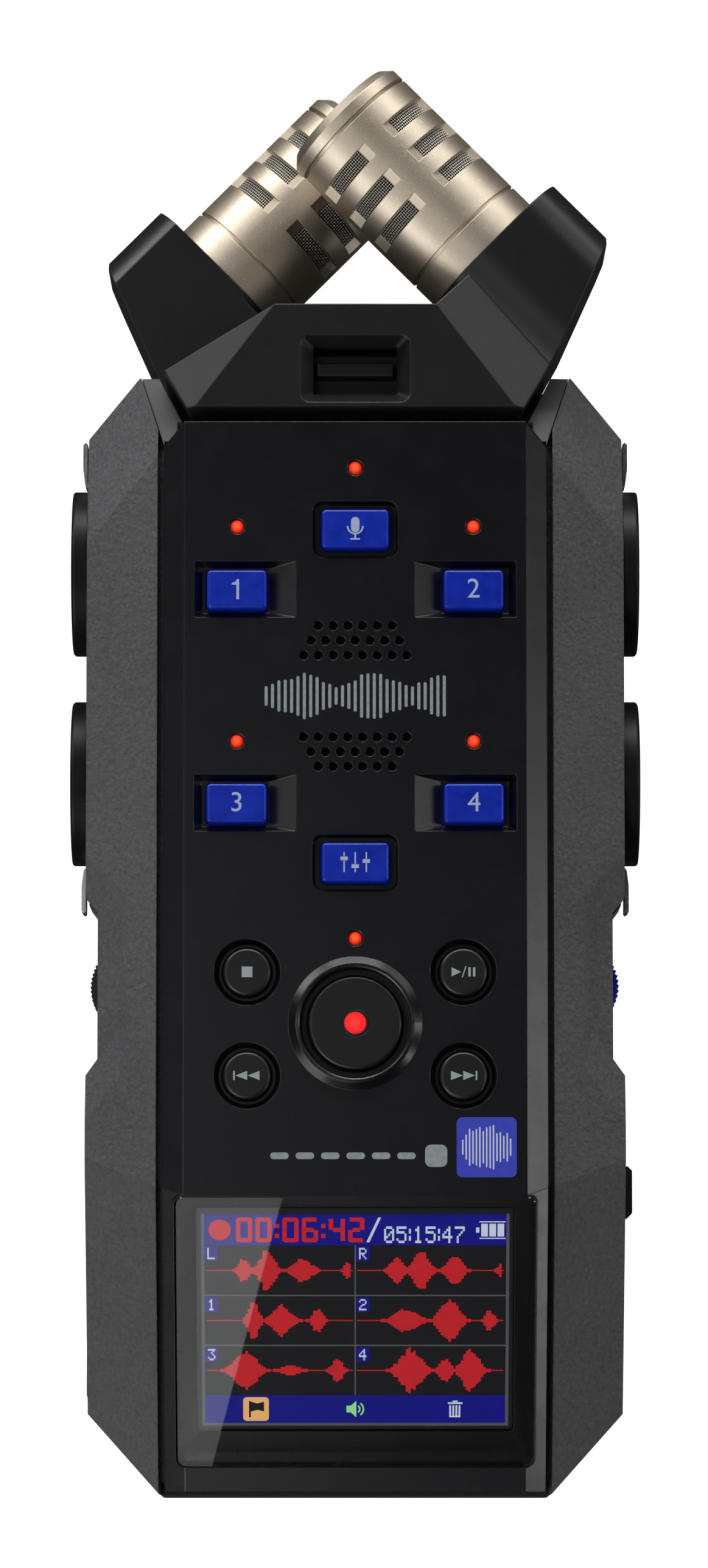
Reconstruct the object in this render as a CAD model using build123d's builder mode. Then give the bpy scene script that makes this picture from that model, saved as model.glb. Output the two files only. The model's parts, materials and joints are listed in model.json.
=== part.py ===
from build123d import *
import os
from math import cos, pi, radians, sin, sqrt, tan

# A portable field recorder lying on its back. Millimetres. X runs to its right, Y towards
# the microphones and Z out of the front panel. The back rests on Z = 0.
os.makedirs("parts", exist_ok=True)

# ---- driving dimensions of the body ----
PANEL_Z = 47.0              # height of the flat front panel
FLAT_X = 23.2               # half width of the panel's flat
PANEL_X = 26.05             # half width of the panel with its bevels
LEDGE_X = 26.1              # inner edge of the side shells, under the groove
GROOVE_X = 26.9             # outer edge of the groove beside the panel
SIDE_X = 36.75              # half width over the side walls
BACK_X = 31.0               # half width of the flat back
SEAM_Z = 13.0               # seam between the side shells and the rear case
TOP_Y = 47.4                # top edge of the panel
HORN_Y = 55.0               # tips of the horns beside the capsule
FOLD_Y = -57.9              # fold where the screen section drops
END_Y = -97.9               # foot end
FACET_SLOPE = 0.6           # fall of the side facets
SCREEN_FACET_SLOPE = 0.78   # fall of the side facets beside the screen
SCREEN_TILT = 25.0          # degrees
CORNER_SLOPE_X = 1.119      # fall of the top corner facets, outwards
CORNER_SLOPE_Y = 0.45       # and towards the microphones
PLATE = 2.6                 # front panel thickness
SKIRT = 6.0                 # depth of the panel's side skirts
CASE_WALL = 2.0             # rear case wall
SHELL_WALL = 3.5            # side shell wall
GROOVE = 1.5                # depth of the groove beside the panel
FIT = 0.05                  # clearance of a fixed piece in its hole

# ---- driving dimensions of the capsule ----
PART_Z = 23.6               # seam between the capsule's halves
CAPSULE_Z = 46.0            # capsule front face
MIC_Z = 33.6                # axis height of the upper microphone
MIC_R = 9.6
AXIS_SUM = 90.3             # X + Y along the upper microphone's axis
MOUTH_S = 38.2              # how far along the axis the arm's mouth lies
ARM_R = 10.8
ARM_REACH = 13.1            # outer edge of the arm from the axis
CAPSULE_FOOT_Y = 48.2

# ---- controls, as (X, Y) on the front panel ----
KEY_SIZE = (8.1, 5.3)
BIG_KEY_SIZE = (9.1, 5.3)
KEY_TOP = 47.8
KEY_TRAVEL = 0.7
TRACK_KEYS = {
    "key_track_1": (-16.06, 24.25),
    "key_track_2": (16.06, 24.25),
    "key_track_3": (-16.06, -4.9),
    "key_track_4": (16.06, -4.9),
}
MODE_KEYS = {"key_microphone": (0.0, 32.55), "key_mixer": (0.0, -12.95)}
ROUND_KEYS = {
    "key_stop": (-14.6, -27.8),
    "key_play": (14.6, -27.8),
    "key_rewind": (-14.6, -41.8),
    "key_forward": (14.6, -41.8),
}
ROUND_KEY_R = 3.22
RECORD_AT = (0.0, -34.7)
RECORD_R = 6.35
LIGHTS = [(0, 41.0), (-16.05, 32.95), (16.05, 32.95), (-16.05, 3.6), (16.05, 3.6), (0, -23.2)]
LIGHT_R = 0.86
HOLE_PITCH = 2.0            # speaker holes
HOLE_R = 0.62
SPEAKER_ROWS = [(19.35, 6), (17.33, 7), (15.31, 8), (4.14, 8), (2.15, 7), (0.15, 6)]

# ---- inputs ----
JACK_Z = 27.2
JACK_FACE_X = 38.95
BEZEL_R = 11.45
BARREL_R = 10.6
SOCKET_R = 9.65             # takes a plug shell of 19 mm
INSERT_R = 8.1
PLUG_R = 3.25               # takes a 6.35 mm plug
INPUTS = {
    "input_1": (-1, 29.13, 1),
    "input_2": (1, 29.13, 1),
    "input_3": (-1, -0.25, -1),
    "input_4": (1, -0.25, -1),
}

# ---- back and battery ----
CELL_R = 7.2
CELL_PITCH = 14.55
CELL_LENGTH = 49.2
CELL_Z = 9.2
CELL_Y = 2.2                # middle of the cells
BAY_X = 29.5
BAY_LOW_Y = -30.0
BAY_HIGH_Y = 33.0
COVER_HINGE_Y = 31.2
COVER_HINGE_Z = 1.95
TRIPOD_Y = -44.0
SCREWS = [(-31.5, 44.5), (31.5, 44.5), (-29.0, -88.0), (29.0, -88.0)]


def save(piece, name):
    """Label a finished piece and write it to its own file."""
    piece.part.label = name
    export_step(piece.part, f"parts/{name}.step")


def block(x, y, z, mode=Mode.ADD):
    """A box from the low and high end on each axis."""
    middle = ((x[0] + x[1]) / 2, (y[0] + y[1]) / 2, (z[0] + z[1]) / 2)
    with Locations(middle):
        Box(x[1] - x[0], y[1] - y[0], z[1] - z[0], mode=mode)


def prism(plane, outline, depth, mode=Mode.ADD):
    """A closed outline of points on a plane, pushed out along the plane's normal."""
    with BuildSketch(plane) as profile:
        with BuildLine():
            Polyline(*outline, close=True)
        make_face()
    extrude(profile.sketch, amount=depth, dir=plane.z_dir, mode=mode)


def disc(plane, radius, depth, mode=Mode.ADD):
    """A round bar or hole that starts on a plane and runs along its normal."""
    with BuildSketch(plane) as profile:
        Circle(radius)
    extrude(profile.sketch, amount=depth, dir=plane.z_dir, mode=mode)


def rounded(plane, width, height, corner, depth, mode=Mode.ADD):
    """A bar or hole with a rounded rectangular section."""
    with BuildSketch(plane) as profile:
        RectangleRounded(width, height, corner)
    extrude(profile.sketch, amount=depth, dir=plane.z_dir, mode=mode)


def funnel(plane, mouth, floor, depth, shift=(0, 0)):
    """Cut a well whose walls lean from a mouth rectangle to a smaller floor rectangle."""
    with BuildSketch(plane) as rim:
        RectangleRounded(mouth[0], mouth[1], mouth[2])
    with BuildSketch(plane.offset(-depth)) as base:
        with Locations(shift):
            RectangleRounded(floor[0], floor[1], floor[2])
    loft([rim.sketch.faces()[0], base.sketch.faces()[0]], mode=Mode.SUBTRACT)


def inside(planes, inset=0.0):
    """The solid behind every (point, outward normal) plane, each plane moved in by inset."""
    with BuildPart() as solid:
        Box(120, 260, 140)
        for point, normal in planes:
            outward = Vector(*normal).normalized()
            face = Plane(origin=Vector(*point) - outward * inset, z_dir=outward)
            split(bisect_by=face, keep=Keep.BOTTOM)
    return solid.part


def through(first, second, third, kept):
    """The plane through three points, facing away from the kept point."""
    corner = Vector(*first)
    normal = (Vector(*second) - corner).cross(Vector(*third) - corner)
    if normal.dot(Vector(*kept) - corner) > 0:
        normal = normal * -1
    return (first, (normal.X, normal.Y, normal.Z))


def facet_height(x):
    """Height of the side facet at a distance from the middle."""
    return PANEL_Z - FACET_SLOPE * (abs(x) - FLAT_X)


def body_planes():
    """The faces of the body, as (point, outward normal)."""
    drop = tan(radians(SCREEN_TILT))
    back_rise = SEAM_Z / (SIDE_X - BACK_X)
    planes = [
        ((0, 0, 0), (0, 0, -1)),
        ((0, 0, PANEL_Z), (0, 0, 1)),
        ((0, FOLD_Y, PANEL_Z), (0, -drop, 1)),
        ((0, END_Y, 0), (0, -1, 0)),
        ((0, HORN_Y, 0), (0, 1, 0)),
    ]
    for side in (-1, 1):
        corner = (side * GROOVE_X, 43.0, facet_height(GROOVE_X))
        planes += [
            ((side * FLAT_X, 0, PANEL_Z), (side * FACET_SLOPE, 0, 1)),
            ((side * FLAT_X, FOLD_Y, PANEL_Z), (side * SCREEN_FACET_SLOPE, -drop, 1)),
            ((side * SIDE_X, 0, 0), (side, 0, 0)),
            ((side * BACK_X, 0, 0), (side * back_rise, 0, -1)),
            (corner, (side * CORNER_SLOPE_X, CORNER_SLOPE_Y, 1)),
            ((side * SIDE_X, 47.2, 0), (side * 8.0, 7.25, 0)),
            ((side * SIDE_X, -86.7, 0), (side * 11.2, -10.05, 0)),
        ]
    return planes


def waist_cutters(side):
    """The two spaces that make the grip recess around the dials."""
    floor_drop = 1.9
    floor_x = 35.1
    inner_x = 31.0
    facet_floor = facet_height(floor_x) - floor_drop
    beyond = (side * 50, -29, 60)
    front = [
        ((side * floor_x, 0, facet_floor), (-side * FACET_SLOPE, 0, -1)),
        ((side * inner_x, 0, facet_height(inner_x)), (-side * 2.56, 0, -1.1)),
        through(
            (side * SIDE_X, -11.0, facet_height(SIDE_X)),
            (side * inner_x, -17.1, facet_height(inner_x)),
            (side * floor_x, -18.6, facet_floor),
            beyond,
        ),
        through(
            (side * SIDE_X, -47.8, facet_height(SIDE_X)),
            (side * inner_x, -40.2, facet_height(inner_x)),
            (side * floor_x, -38.9, facet_floor),
            beyond,
        ),
    ]
    flank = [
        ((side * floor_x, 0, 0), (-side, 0, 0)),
        through((side * SIDE_X, -16.6, 0), (side * floor_x, -18.6, 0), (side * SIDE_X, -16.6, 9), beyond),
        through((side * SIDE_X, -41.1, 0), (side * floor_x, -38.9, 0), (side * SIDE_X, -41.1, 9), beyond),
    ]
    return inside(front), inside(flank)


# ---- shared solids of the body ----
body = inside(body_planes())
body_under_plate = inside(body_planes(), PLATE)
body_under_skirt = inside(body_planes(), SKIRT)
body_in_shell = inside(body_planes(), SHELL_WALL)
body_in_case = inside(body_planes(), CASE_WALL)
body_under_groove = inside(body_planes(), GROOVE)
waist = {side: waist_cutters(side) for side in (-1, 1)}

screen_plane = Plane(
    origin=(0, FOLD_Y, PANEL_Z),
    x_dir=(1, 0, 0),
    z_dir=(0, -sin(radians(SCREEN_TILT)), cos(radians(SCREEN_TILT))),
)


def on_panel(at, height=PANEL_Z):
    """A plane level with the front panel, centred on a control."""
    return Plane(origin=(at[0], at[1], height))


def on_screen(y, height):
    """A plane parallel to the screen, y down its slope and height above its face."""
    return Plane(
        origin=screen_plane.from_local_coords((0, y, height)),
        x_dir=(1, 0, 0),
        z_dir=screen_plane.z_dir,
    )


def facing_out(side, x, y, z):
    """A plane on a side wall that looks outwards, its own X along the recorder's Y."""
    return Plane(origin=(side * x, y, z), x_dir=(0, 1, 0), z_dir=(side, 0, 0))


# ---- front panel ----
LENS_LOW = -39.9
LENS_HIGH = -0.15
LENS_MIDDLE = (LENS_LOW + LENS_HIGH) / 2
LENS_CORNER = 1.3
LENS_SEAT = 1.0
WINDOW_MIDDLE = -18.6
WINDOW = (43.0, 32.8)
WELL_DEPTH = 1.5
PLATE_BACK = PANEL_Z - PLATE

with BuildPart() as front_panel:
    add(body)
    block((-60, 60), (-120, 80), (-10, SEAM_Z), Mode.SUBTRACT)
    for hand in (-1, 1):
        edge = Plane(origin=(hand * PANEL_X, 0, 0), z_dir=(hand, 0, 0))
        split(bisect_by=edge, keep=Keep.BOTTOM)
        mitre = Plane(origin=(hand * FLAT_X, TOP_Y, 0), z_dir=(hand * 3.2, 2.85, 0))
        split(bisect_by=mitre, keep=Keep.BOTTOM)
    split(bisect_by=Plane(origin=(0, TOP_Y, 0), z_dir=(0, 1, 0)), keep=Keep.BOTTOM)
    split(bisect_by=Plane(origin=(0, END_Y + 0.45, 0), z_dir=(0, 1, 0)), keep=Keep.TOP)
    # the hollow: full depth between the skirts, then everything below the skirts
    with BuildPart(mode=Mode.PRIVATE) as hollow:
        add(body_under_plate)
        block((-24.2, 24.2), (-120, 80), (-10, 60), Mode.INTERSECT)
    add(hollow.part, mode=Mode.SUBTRACT)
    with BuildPart(mode=Mode.PRIVATE) as below_skirt:
        add(body_under_skirt)
        block((-60, 60), (END_Y + PLATE, 80), (-10, 60), Mode.INTERSECT)
    add(below_skirt.part, mode=Mode.SUBTRACT)
    # seat and window of the display
    rounded(on_screen(LENS_MIDDLE, -PLATE), 49.1, 40.1, 1.5, PLATE)
    rounded(on_screen(LENS_MIDDLE, -LENS_SEAT), 48.8, 39.85, 1.4, 4, Mode.SUBTRACT)
    rounded(on_screen(WINDOW_MIDDLE, -4), WINDOW[0], WINDOW[1], 0.6, 8, Mode.SUBTRACT)
    # wells of the track keys: a long ramp on the side towards the middle
    for at in TRACK_KEYS.values():
        hand = 1 if at[0] > 0 else -1
        mouth_x = at[0] - hand * 1.12
        funnel(on_panel((mouth_x, at[1] + 0.1)), (13.85, 7.7, 0.15), (9.2, 6.2, 0.1), WELL_DEPTH,
               (hand * 1.3, 0.0))
        rounded(on_panel(at, PLATE_BACK - 1), 8.45, 5.65, 0.7, 4, Mode.SUBTRACT)
    for at in MODE_KEYS.values():
        funnel(on_panel(at), (11.6, 7.7, 1.4), (11.1, 7.2, 1.2), WELL_DEPTH)
        rounded(on_panel(at, PLATE_BACK - 1), 9.45, 5.65, 0.7, 4, Mode.SUBTRACT)
    # wells of the round keys
    for at in ROUND_KEYS.values():
        with BuildSketch(on_panel(at)) as rim:
            Circle(4.5)
        with BuildSketch(on_panel(at, PANEL_Z - WELL_DEPTH)) as base:
            Circle(3.9)
        loft([rim.sketch.faces()[0], base.sketch.faces()[0]], mode=Mode.SUBTRACT)
        disc(on_panel(at, PLATE_BACK - 1), ROUND_KEY_R + 0.18, 4, Mode.SUBTRACT)
    # record key: a raised ring around a deep well
    disc(on_panel(RECORD_AT, PANEL_Z - 1.6), 7.5, 4, Mode.SUBTRACT)
    disc(on_panel(RECORD_AT, PLATE_BACK - 1), RECORD_R + 0.2, 4, Mode.SUBTRACT)
    ring_plane = Plane(origin=(RECORD_AT[0], RECORD_AT[1], PANEL_Z), x_dir=(1, 0, 0), z_dir=(0, -1, 0))
    with BuildSketch(ring_plane) as ring:
        with BuildLine():
            Polyline((7.5, -1.0), (9.05, -1.0), (9.05, 0), (8.1, 0.8), (7.75, 0.9), (7.5, 0.75), close=True)
        make_face()
    revolve(ring.sketch, axis=Axis((RECORD_AT[0], RECORD_AT[1], 0), (0, 0, 1)))
    # light holes and speaker holes
    with Locations(*[(x, y, PANEL_Z) for x, y in LIGHTS]):
        CounterSinkHole(radius=0.93, counter_sink_radius=1.12, depth=4)
    for row_y, count in SPEAKER_ROWS:
        with Locations((0, row_y, PANEL_Z)):
            with GridLocations(HOLE_PITCH, 1, count, 1):
                Hole(radius=HOLE_R, depth=4)
save(front_panel, "front_panel")

# ---- side shells ----
POWER_Y = -56.4
POWER_Z = 25.0
DIAL_Y = -28.05
VOLUME_X = 29.75
VOLUME_R = 6.8
VOLUME_Z = (20.2, 24.8)
SELECT_X = 30.3
SELECT_R = 6.0
SELECT_Z = (23.2, 27.6)
ENTER_Z = 18.6
MINI_JACK_Y = (-46.5, -57.0)
MINI_JACK_Z = 21.0
PORT_Y = -74.0
PORT_Z = 19.0
DOOR_Y = (-84.5, -64.5)
DOOR_Z = (14.2, 21.8)
CARD_Z = 17.6
CARD_Y = -74.5
LEVER_Z = 5.5               # width of a release lever
LEVER_PIN_X = 34.4          # its hinge pin, inside the side wall
LEVER_PIN_R = 0.6
LEVER_PIN_HALF = 3.8
TAB_POCKET_X = 35.2         # floor of the pocket that the tab is pressed into
LEVER_LEG_Y = 11.95         # from the jack's axis to the middle of the lever's leg


def side_shell(side):
    """A grip shell with its input holes; the pieces' own holes are cut afterwards."""
    ridge_foot = (side * LEDGE_X, 44.2, 0)
    ridge = through(ridge_foot, (side * 29.4, 55.0, 0), (side * LEDGE_X, 44.2, 9), (side * 36, 50, 0))
    region = [((side * LEDGE_X, 0, 0), (-side, 0, 0)), ((0, 0, SEAM_Z), (0, 0, -1)), ridge]
    with BuildPart(mode=Mode.PRIVATE) as rabbet:
        block(tuple(sorted((side * 20, side * GROOVE_X))), (-120, 60), (0, 60))
        add(body_under_groove, mode=Mode.SUBTRACT)
    with BuildPart(mode=Mode.PRIVATE) as shell:
        add(inside(body_planes() + region))
        add(body_in_shell, mode=Mode.SUBTRACT)
        add(rabbet.part, mode=Mode.SUBTRACT)
        for cutter in waist[side]:
            add(cutter, mode=Mode.SUBTRACT)
        for hand, jack_y, lever_way in INPUTS.values():
            if hand == side:
                disc(facing_out(side, 30, jack_y, JACK_Z), BARREL_R + FIT, 12, Mode.SUBTRACT)
                slot_y = sorted((jack_y, jack_y + lever_way * 13.4))
                slot_z = (JACK_Z - LEVER_Z / 2 - 0.3, JACK_Z + LEVER_Z / 2 + 0.3)
                block(tuple(sorted((side * 30, side * 40))), slot_y, slot_z, Mode.SUBTRACT)
                tab_y = sorted((jack_y + lever_way * 13.3, jack_y + lever_way * 18.6))
                block(tuple(sorted((side * TAB_POCKET_X, side * 40))), tab_y, slot_z, Mode.SUBTRACT)
                pin_y = jack_y + lever_way * LEVER_LEG_Y
                pin_foot = (side * LEVER_PIN_X, pin_y, JACK_Z - LEVER_PIN_HALF - 0.2)
                disc(Plane(origin=pin_foot), LEVER_PIN_R + FIT, 2 * LEVER_PIN_HALF + 0.4, Mode.SUBTRACT)
        for screw_x, screw_y in SCREWS:
            if screw_x * side > 0:
                disc(Plane(origin=(screw_x, screw_y, SEAM_Z)), 3.0, 9.5)
        add(inside(body_planes()), mode=Mode.INTERSECT)
        for screw_x, screw_y in SCREWS:
            if screw_x * side > 0:
                disc(Plane(origin=(screw_x, screw_y, SEAM_Z)), 1.2, 9.0, Mode.SUBTRACT)
    return shell.part


left_base = side_shell(-1)
right_base = side_shell(1)

with BuildPart() as left_side_shell:
    add(left_base)
    disc(Plane(origin=(-VOLUME_X, DIAL_Y, VOLUME_Z[0] - 0.4)), VOLUME_R + 0.4, 5.4, Mode.SUBTRACT)
    for jack_y in MINI_JACK_Y:
        disc(facing_out(-1, 30, jack_y, MINI_JACK_Z), 3.0 + FIT, 12, Mode.SUBTRACT)
    block((-40, -35.7), DOOR_Y, DOOR_Z, Mode.SUBTRACT)
    block((-40, -30), (CARD_Y - 7.2, CARD_Y + 7.2), (CARD_Z - 1.5, CARD_Z + 1.5), Mode.SUBTRACT)
save(left_side_shell, "left_side_shell")

with BuildPart() as right_side_shell:
    add(right_base)
    disc(Plane(origin=(SELECT_X, DIAL_Y, SELECT_Z[0] - 0.4)), SELECT_R + 0.4, 5.2, Mode.SUBTRACT)
    rounded(facing_out(1, 30, DIAL_Y - 0.15, ENTER_Z), 7.1, 4.6, 1.6, 8, Mode.SUBTRACT)
    block((30, 40), (POWER_Y - 3.6, POWER_Y + 3.6), (POWER_Z - 1.2, POWER_Z + 1.2), Mode.SUBTRACT)
    rounded(facing_out(1, 30, PORT_Y, PORT_Z), 9.5, 3.8, 1.85, 8, Mode.SUBTRACT)
save(right_side_shell, "right_side_shell")

# ---- rear case ----
SCREW_HEAD_R = 2.3
PLUG_HALF_X = 11.0
PLUG_Z = (10.0, 16.0)

with BuildPart() as rear_case:
    add(inside(body_planes() + [((0, 0, SEAM_Z), (0, 0, 1))]))
    with BuildPart(mode=Mode.PRIVATE) as tub:
        add(body_in_case)
        block((-60, 60), (-120, TOP_Y - 2.0), (-10, 60), Mode.INTERSECT)
    add(tub.part, mode=Mode.SUBTRACT)
    # walls of the battery bay
    block((-BAY_X - 1.2, BAY_X + 1.2), (BAY_LOW_Y - 1.2, BAY_HIGH_Y + 1.2), (CASE_WALL / 2, SEAM_Z))
    block((-BAY_X, BAY_X), (BAY_LOW_Y, BAY_HIGH_Y), (-1, 20), Mode.SUBTRACT)
    # ledge that holds the cells off the cover
    block((-BAY_X, BAY_X), (BAY_LOW_Y, BAY_LOW_Y + 3.0), (2.1, 8.0))
    # bosses of the tripod bush and the screws
    disc(Plane(origin=(0, TRIPOD_Y, 1)), 8.0, 9.5)
    disc(Plane(origin=(0, TRIPOD_Y, -1)), 5.0, 10.2, Mode.SUBTRACT)
    for screw_x, screw_y in SCREWS:
        disc(Plane(origin=(screw_x, screw_y, 1)), 3.6, SEAM_Z - 1)
    add(body, mode=Mode.INTERSECT)
    # window for the capsule's plug and pocket between the horns for the capsule
    block((-PLUG_HALF_X - 0.5, PLUG_HALF_X + 0.5), (40, 50), (PLUG_Z[0] - 0.5, 20), Mode.SUBTRACT)
    capsule_pocket = [
        (-FLAT_X, TOP_Y), (FLAT_X, TOP_Y), (27.5, 55.4), (27.5, 60), (-27.5, 60), (-27.5, 55.4),
    ]
    prism(Plane.XY.offset(-1), capsule_pocket, 60, Mode.SUBTRACT)
    for screw_x, screw_y in SCREWS:
        disc(Plane(origin=(screw_x, screw_y, -1)), 1.35, 20, Mode.SUBTRACT)
        disc(Plane(origin=(screw_x, screw_y, -20)), SCREW_HEAD_R + 0.1, 24.2, Mode.SUBTRACT)
    for hand in (-1, 1):
        add(waist[hand][1], mode=Mode.SUBTRACT)
        # holes of the cover's hinge pins
        disc(facing_out(hand, 20, COVER_HINGE_Y, COVER_HINGE_Z), 0.78, 10.9, Mode.SUBTRACT)
    # thumb notch beside the cover
    with Locations((0, BAY_LOW_Y - 1.0, -1.2)):
        Cylinder(radius=6.0, height=4.2, mode=Mode.SUBTRACT)
save(rear_case, "rear_case")

# ---- dock frame at the top end ----
DOCK_WALL = 2.3
LATCH_Z = 39.2

with BuildPart() as dock_frame:
    wall_y = TOP_Y - 0.1
    outline = [
        (-26.0, wall_y - DOCK_WALL), (26.0, wall_y - DOCK_WALL), (26.0, 44.2), (29.3, 54.9), (26.9, 54.9),
        (FLAT_X + 0.05, wall_y), (-FLAT_X - 0.05, wall_y), (-26.9, 54.9), (-29.3, 54.9), (-26.0, 44.2),
    ]
    prism(Plane.XY.offset(SEAM_Z), outline, PLATE_BACK - 0.02 - SEAM_Z)
    for hand in (-1, 1):
        horn = Plane(origin=(hand * PANEL_X, 44.2, 44.7), z_dir=(hand * 0.108, 0.577, 0.81))
        split(bisect_by=horn, keep=Keep.BOTTOM)
    # room for the panel's skirts
    for hand in (-1, 1):
        skirt_room = [(hand * 24.1, 40), (hand * 27.2, 40), (hand * 27.2, 43.0), (hand * 24.1, 46.5)]
        prism(Plane.XY.offset(36.0), skirt_room, 14, Mode.SUBTRACT)
        block(tuple(sorted((hand * 22.4, hand * 24.2))), (40, 50), (42.2, 50), Mode.SUBTRACT)
    block((-11.5, 11.5), (40, 50), (8, PLUG_Z[1] + 0.5), Mode.SUBTRACT)
    block((-4.5, 4.5), (40, 50), (LATCH_Z - 1.6, LATCH_Z + 2.6), Mode.SUBTRACT)
save(dock_frame, "dock_frame")

# ---- display ----
with BuildPart() as display_lens:
    rounded(on_screen(LENS_MIDDLE, -LENS_SEAT), 48.7, 39.75, 1.35, LENS_SEAT + 0.15)
    outwards = Axis(origin=(0, 0, 0), direction=screen_plane.z_dir)
    chamfer(display_lens.faces().sort_by(outwards)[-1].edges(), 0.18)
save(display_lens, "display_lens")

with BuildPart() as display_module:
    rounded(on_screen(WINDOW_MIDDLE - 0.4, -5.6), 45.0, 35.5, 0.5, 2.6)
    rounded(on_screen(WINDOW_MIDDLE, -5.0), 42.6, 32.4, 0.4, 3.7)
save(display_module, "display_module")

# ---- boards, mat, speaker ----
BOARD_Z = 39.5
BOARD = 1.6
MAT_Z = BOARD_Z + BOARD
MAT = 0.9
SPEAKER_Y = 9.75
SPEAKER_SIZE = (16.0, 21.4)

with BuildPart() as main_board:
    block((-23.9, 23.9), (-56.0, 43.5), (BOARD_Z, BOARD_Z + BOARD))
    with Locations((0, SPEAKER_Y, BOARD_Z)):
        Box(SPEAKER_SIZE[0] + 0.6, SPEAKER_SIZE[1] + 0.6, 8, mode=Mode.SUBTRACT)
    # processor and memory packages on the underside
    block((-17, -3), (-52, -38), (BOARD_Z - 1.2, BOARD_Z))
    block((4, 14), (-50, -40), (BOARD_Z - 1.0, BOARD_Z))
save(main_board, "main_board")

with BuildPart() as keypad_mat:
    block((-22.5, 22.5), (-47.5, 42.8), (MAT_Z, MAT_Z + MAT))
    with Locations((0, SPEAKER_Y, MAT_Z)):
        Box(SPEAKER_SIZE[0] + 0.6, SPEAKER_SIZE[1] + 0.6, 8, mode=Mode.SUBTRACT)
    with Locations(*[(x, y, MAT_Z) for x, y in LIGHTS]):
        Cylinder(radius=1.3, height=6, mode=Mode.SUBTRACT)
save(keypad_mat, "keypad_mat")

with BuildPart() as speaker:
    block((-SPEAKER_SIZE[0] / 2, SPEAKER_SIZE[0] / 2),
          (SPEAKER_Y - SPEAKER_SIZE[1] / 2, SPEAKER_Y + SPEAKER_SIZE[1] / 2), (40.2, PLATE_BACK))
    fillet(speaker.edges().filter_by(Axis.Z), 1.5)
    with Locations((0, SPEAKER_Y, PLATE_BACK)):
        Box(14.4, 19.8, 1.2, mode=Mode.SUBTRACT)
save(speaker, "speaker")

with BuildPart() as led_light_pipes:
    with Locations(*[(x, y, (MAT_Z + PANEL_Z - 0.15) / 2) for x, y in LIGHTS]):
        Cylinder(radius=LIGHT_R, height=PANEL_Z - 0.15 - MAT_Z)
save(led_light_pipes, "led_light_pipes")

# ---- keys ----
FLANGE = (PLATE_BACK - 1.2, PLATE_BACK - 0.15)


def flat_key(at, size, name):
    """A rectangular key cap with its retaining flange and plunger."""
    with BuildPart() as key:
        rounded(on_panel(at, FLANGE[0]), size[0], size[1], 0.6, KEY_TOP - FLANGE[0])
        fillet(key.faces().sort_by(Axis.Z)[-1].edges(), 0.45)
        rounded(on_panel(at, FLANGE[0]), size[0] + 1.3, size[1] + 1.3, 0.9, FLANGE[1] - FLANGE[0])
        disc(on_panel(at, MAT_Z + MAT + KEY_TRAVEL + 0.05), 1.5, 0.5)
    save(key, name)


for key_name, key_at in TRACK_KEYS.items():
    flat_key(key_at, KEY_SIZE, key_name)
for key_name, key_at in MODE_KEYS.items():
    flat_key(key_at, BIG_KEY_SIZE, key_name)


ROUND_KEY_TOP = 47.45
RECORD_TOP = 47.5


def round_key(at, radius, top):
    """A round key cap with its retaining flange."""
    with BuildPart() as key:
        disc(on_panel(at, FLANGE[0]), radius, top - FLANGE[0])
        fillet(key.faces().sort_by(Axis.Z)[-1].edges(), 0.5)
        disc(on_panel(at, FLANGE[0]), radius + 0.7, FLANGE[1] - FLANGE[0])
    return key


for key_name, key_at in ROUND_KEYS.items():
    save(round_key(key_at, ROUND_KEY_R, ROUND_KEY_TOP), key_name)

with BuildPart() as key_record:
    add(round_key(RECORD_AT, RECORD_R, RECORD_TOP).part)
    disc(on_panel(RECORD_AT, 47.1), 1.85, 1, Mode.SUBTRACT)
    disc(on_panel(RECORD_AT, 47.0), 1.79, 0.5)
save(key_record, "key_record")

# ---- inputs: jacks, contact inserts and release levers ----
CAVITY_FLOOR_X = 25.2
BARREL_END_X = 24.0
TAIL_END_X = 5.5
TAIL_R = 7.0
INSERT_FACE_X = 38.1
BORE_END_X = 6.7
PIN_CIRCLE_R = 5.75


def jack_plane(side, x, jack_y):
    """A plane across an input's axis, facing out of its side wall."""
    return facing_out(side, x, jack_y, JACK_Z)


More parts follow.
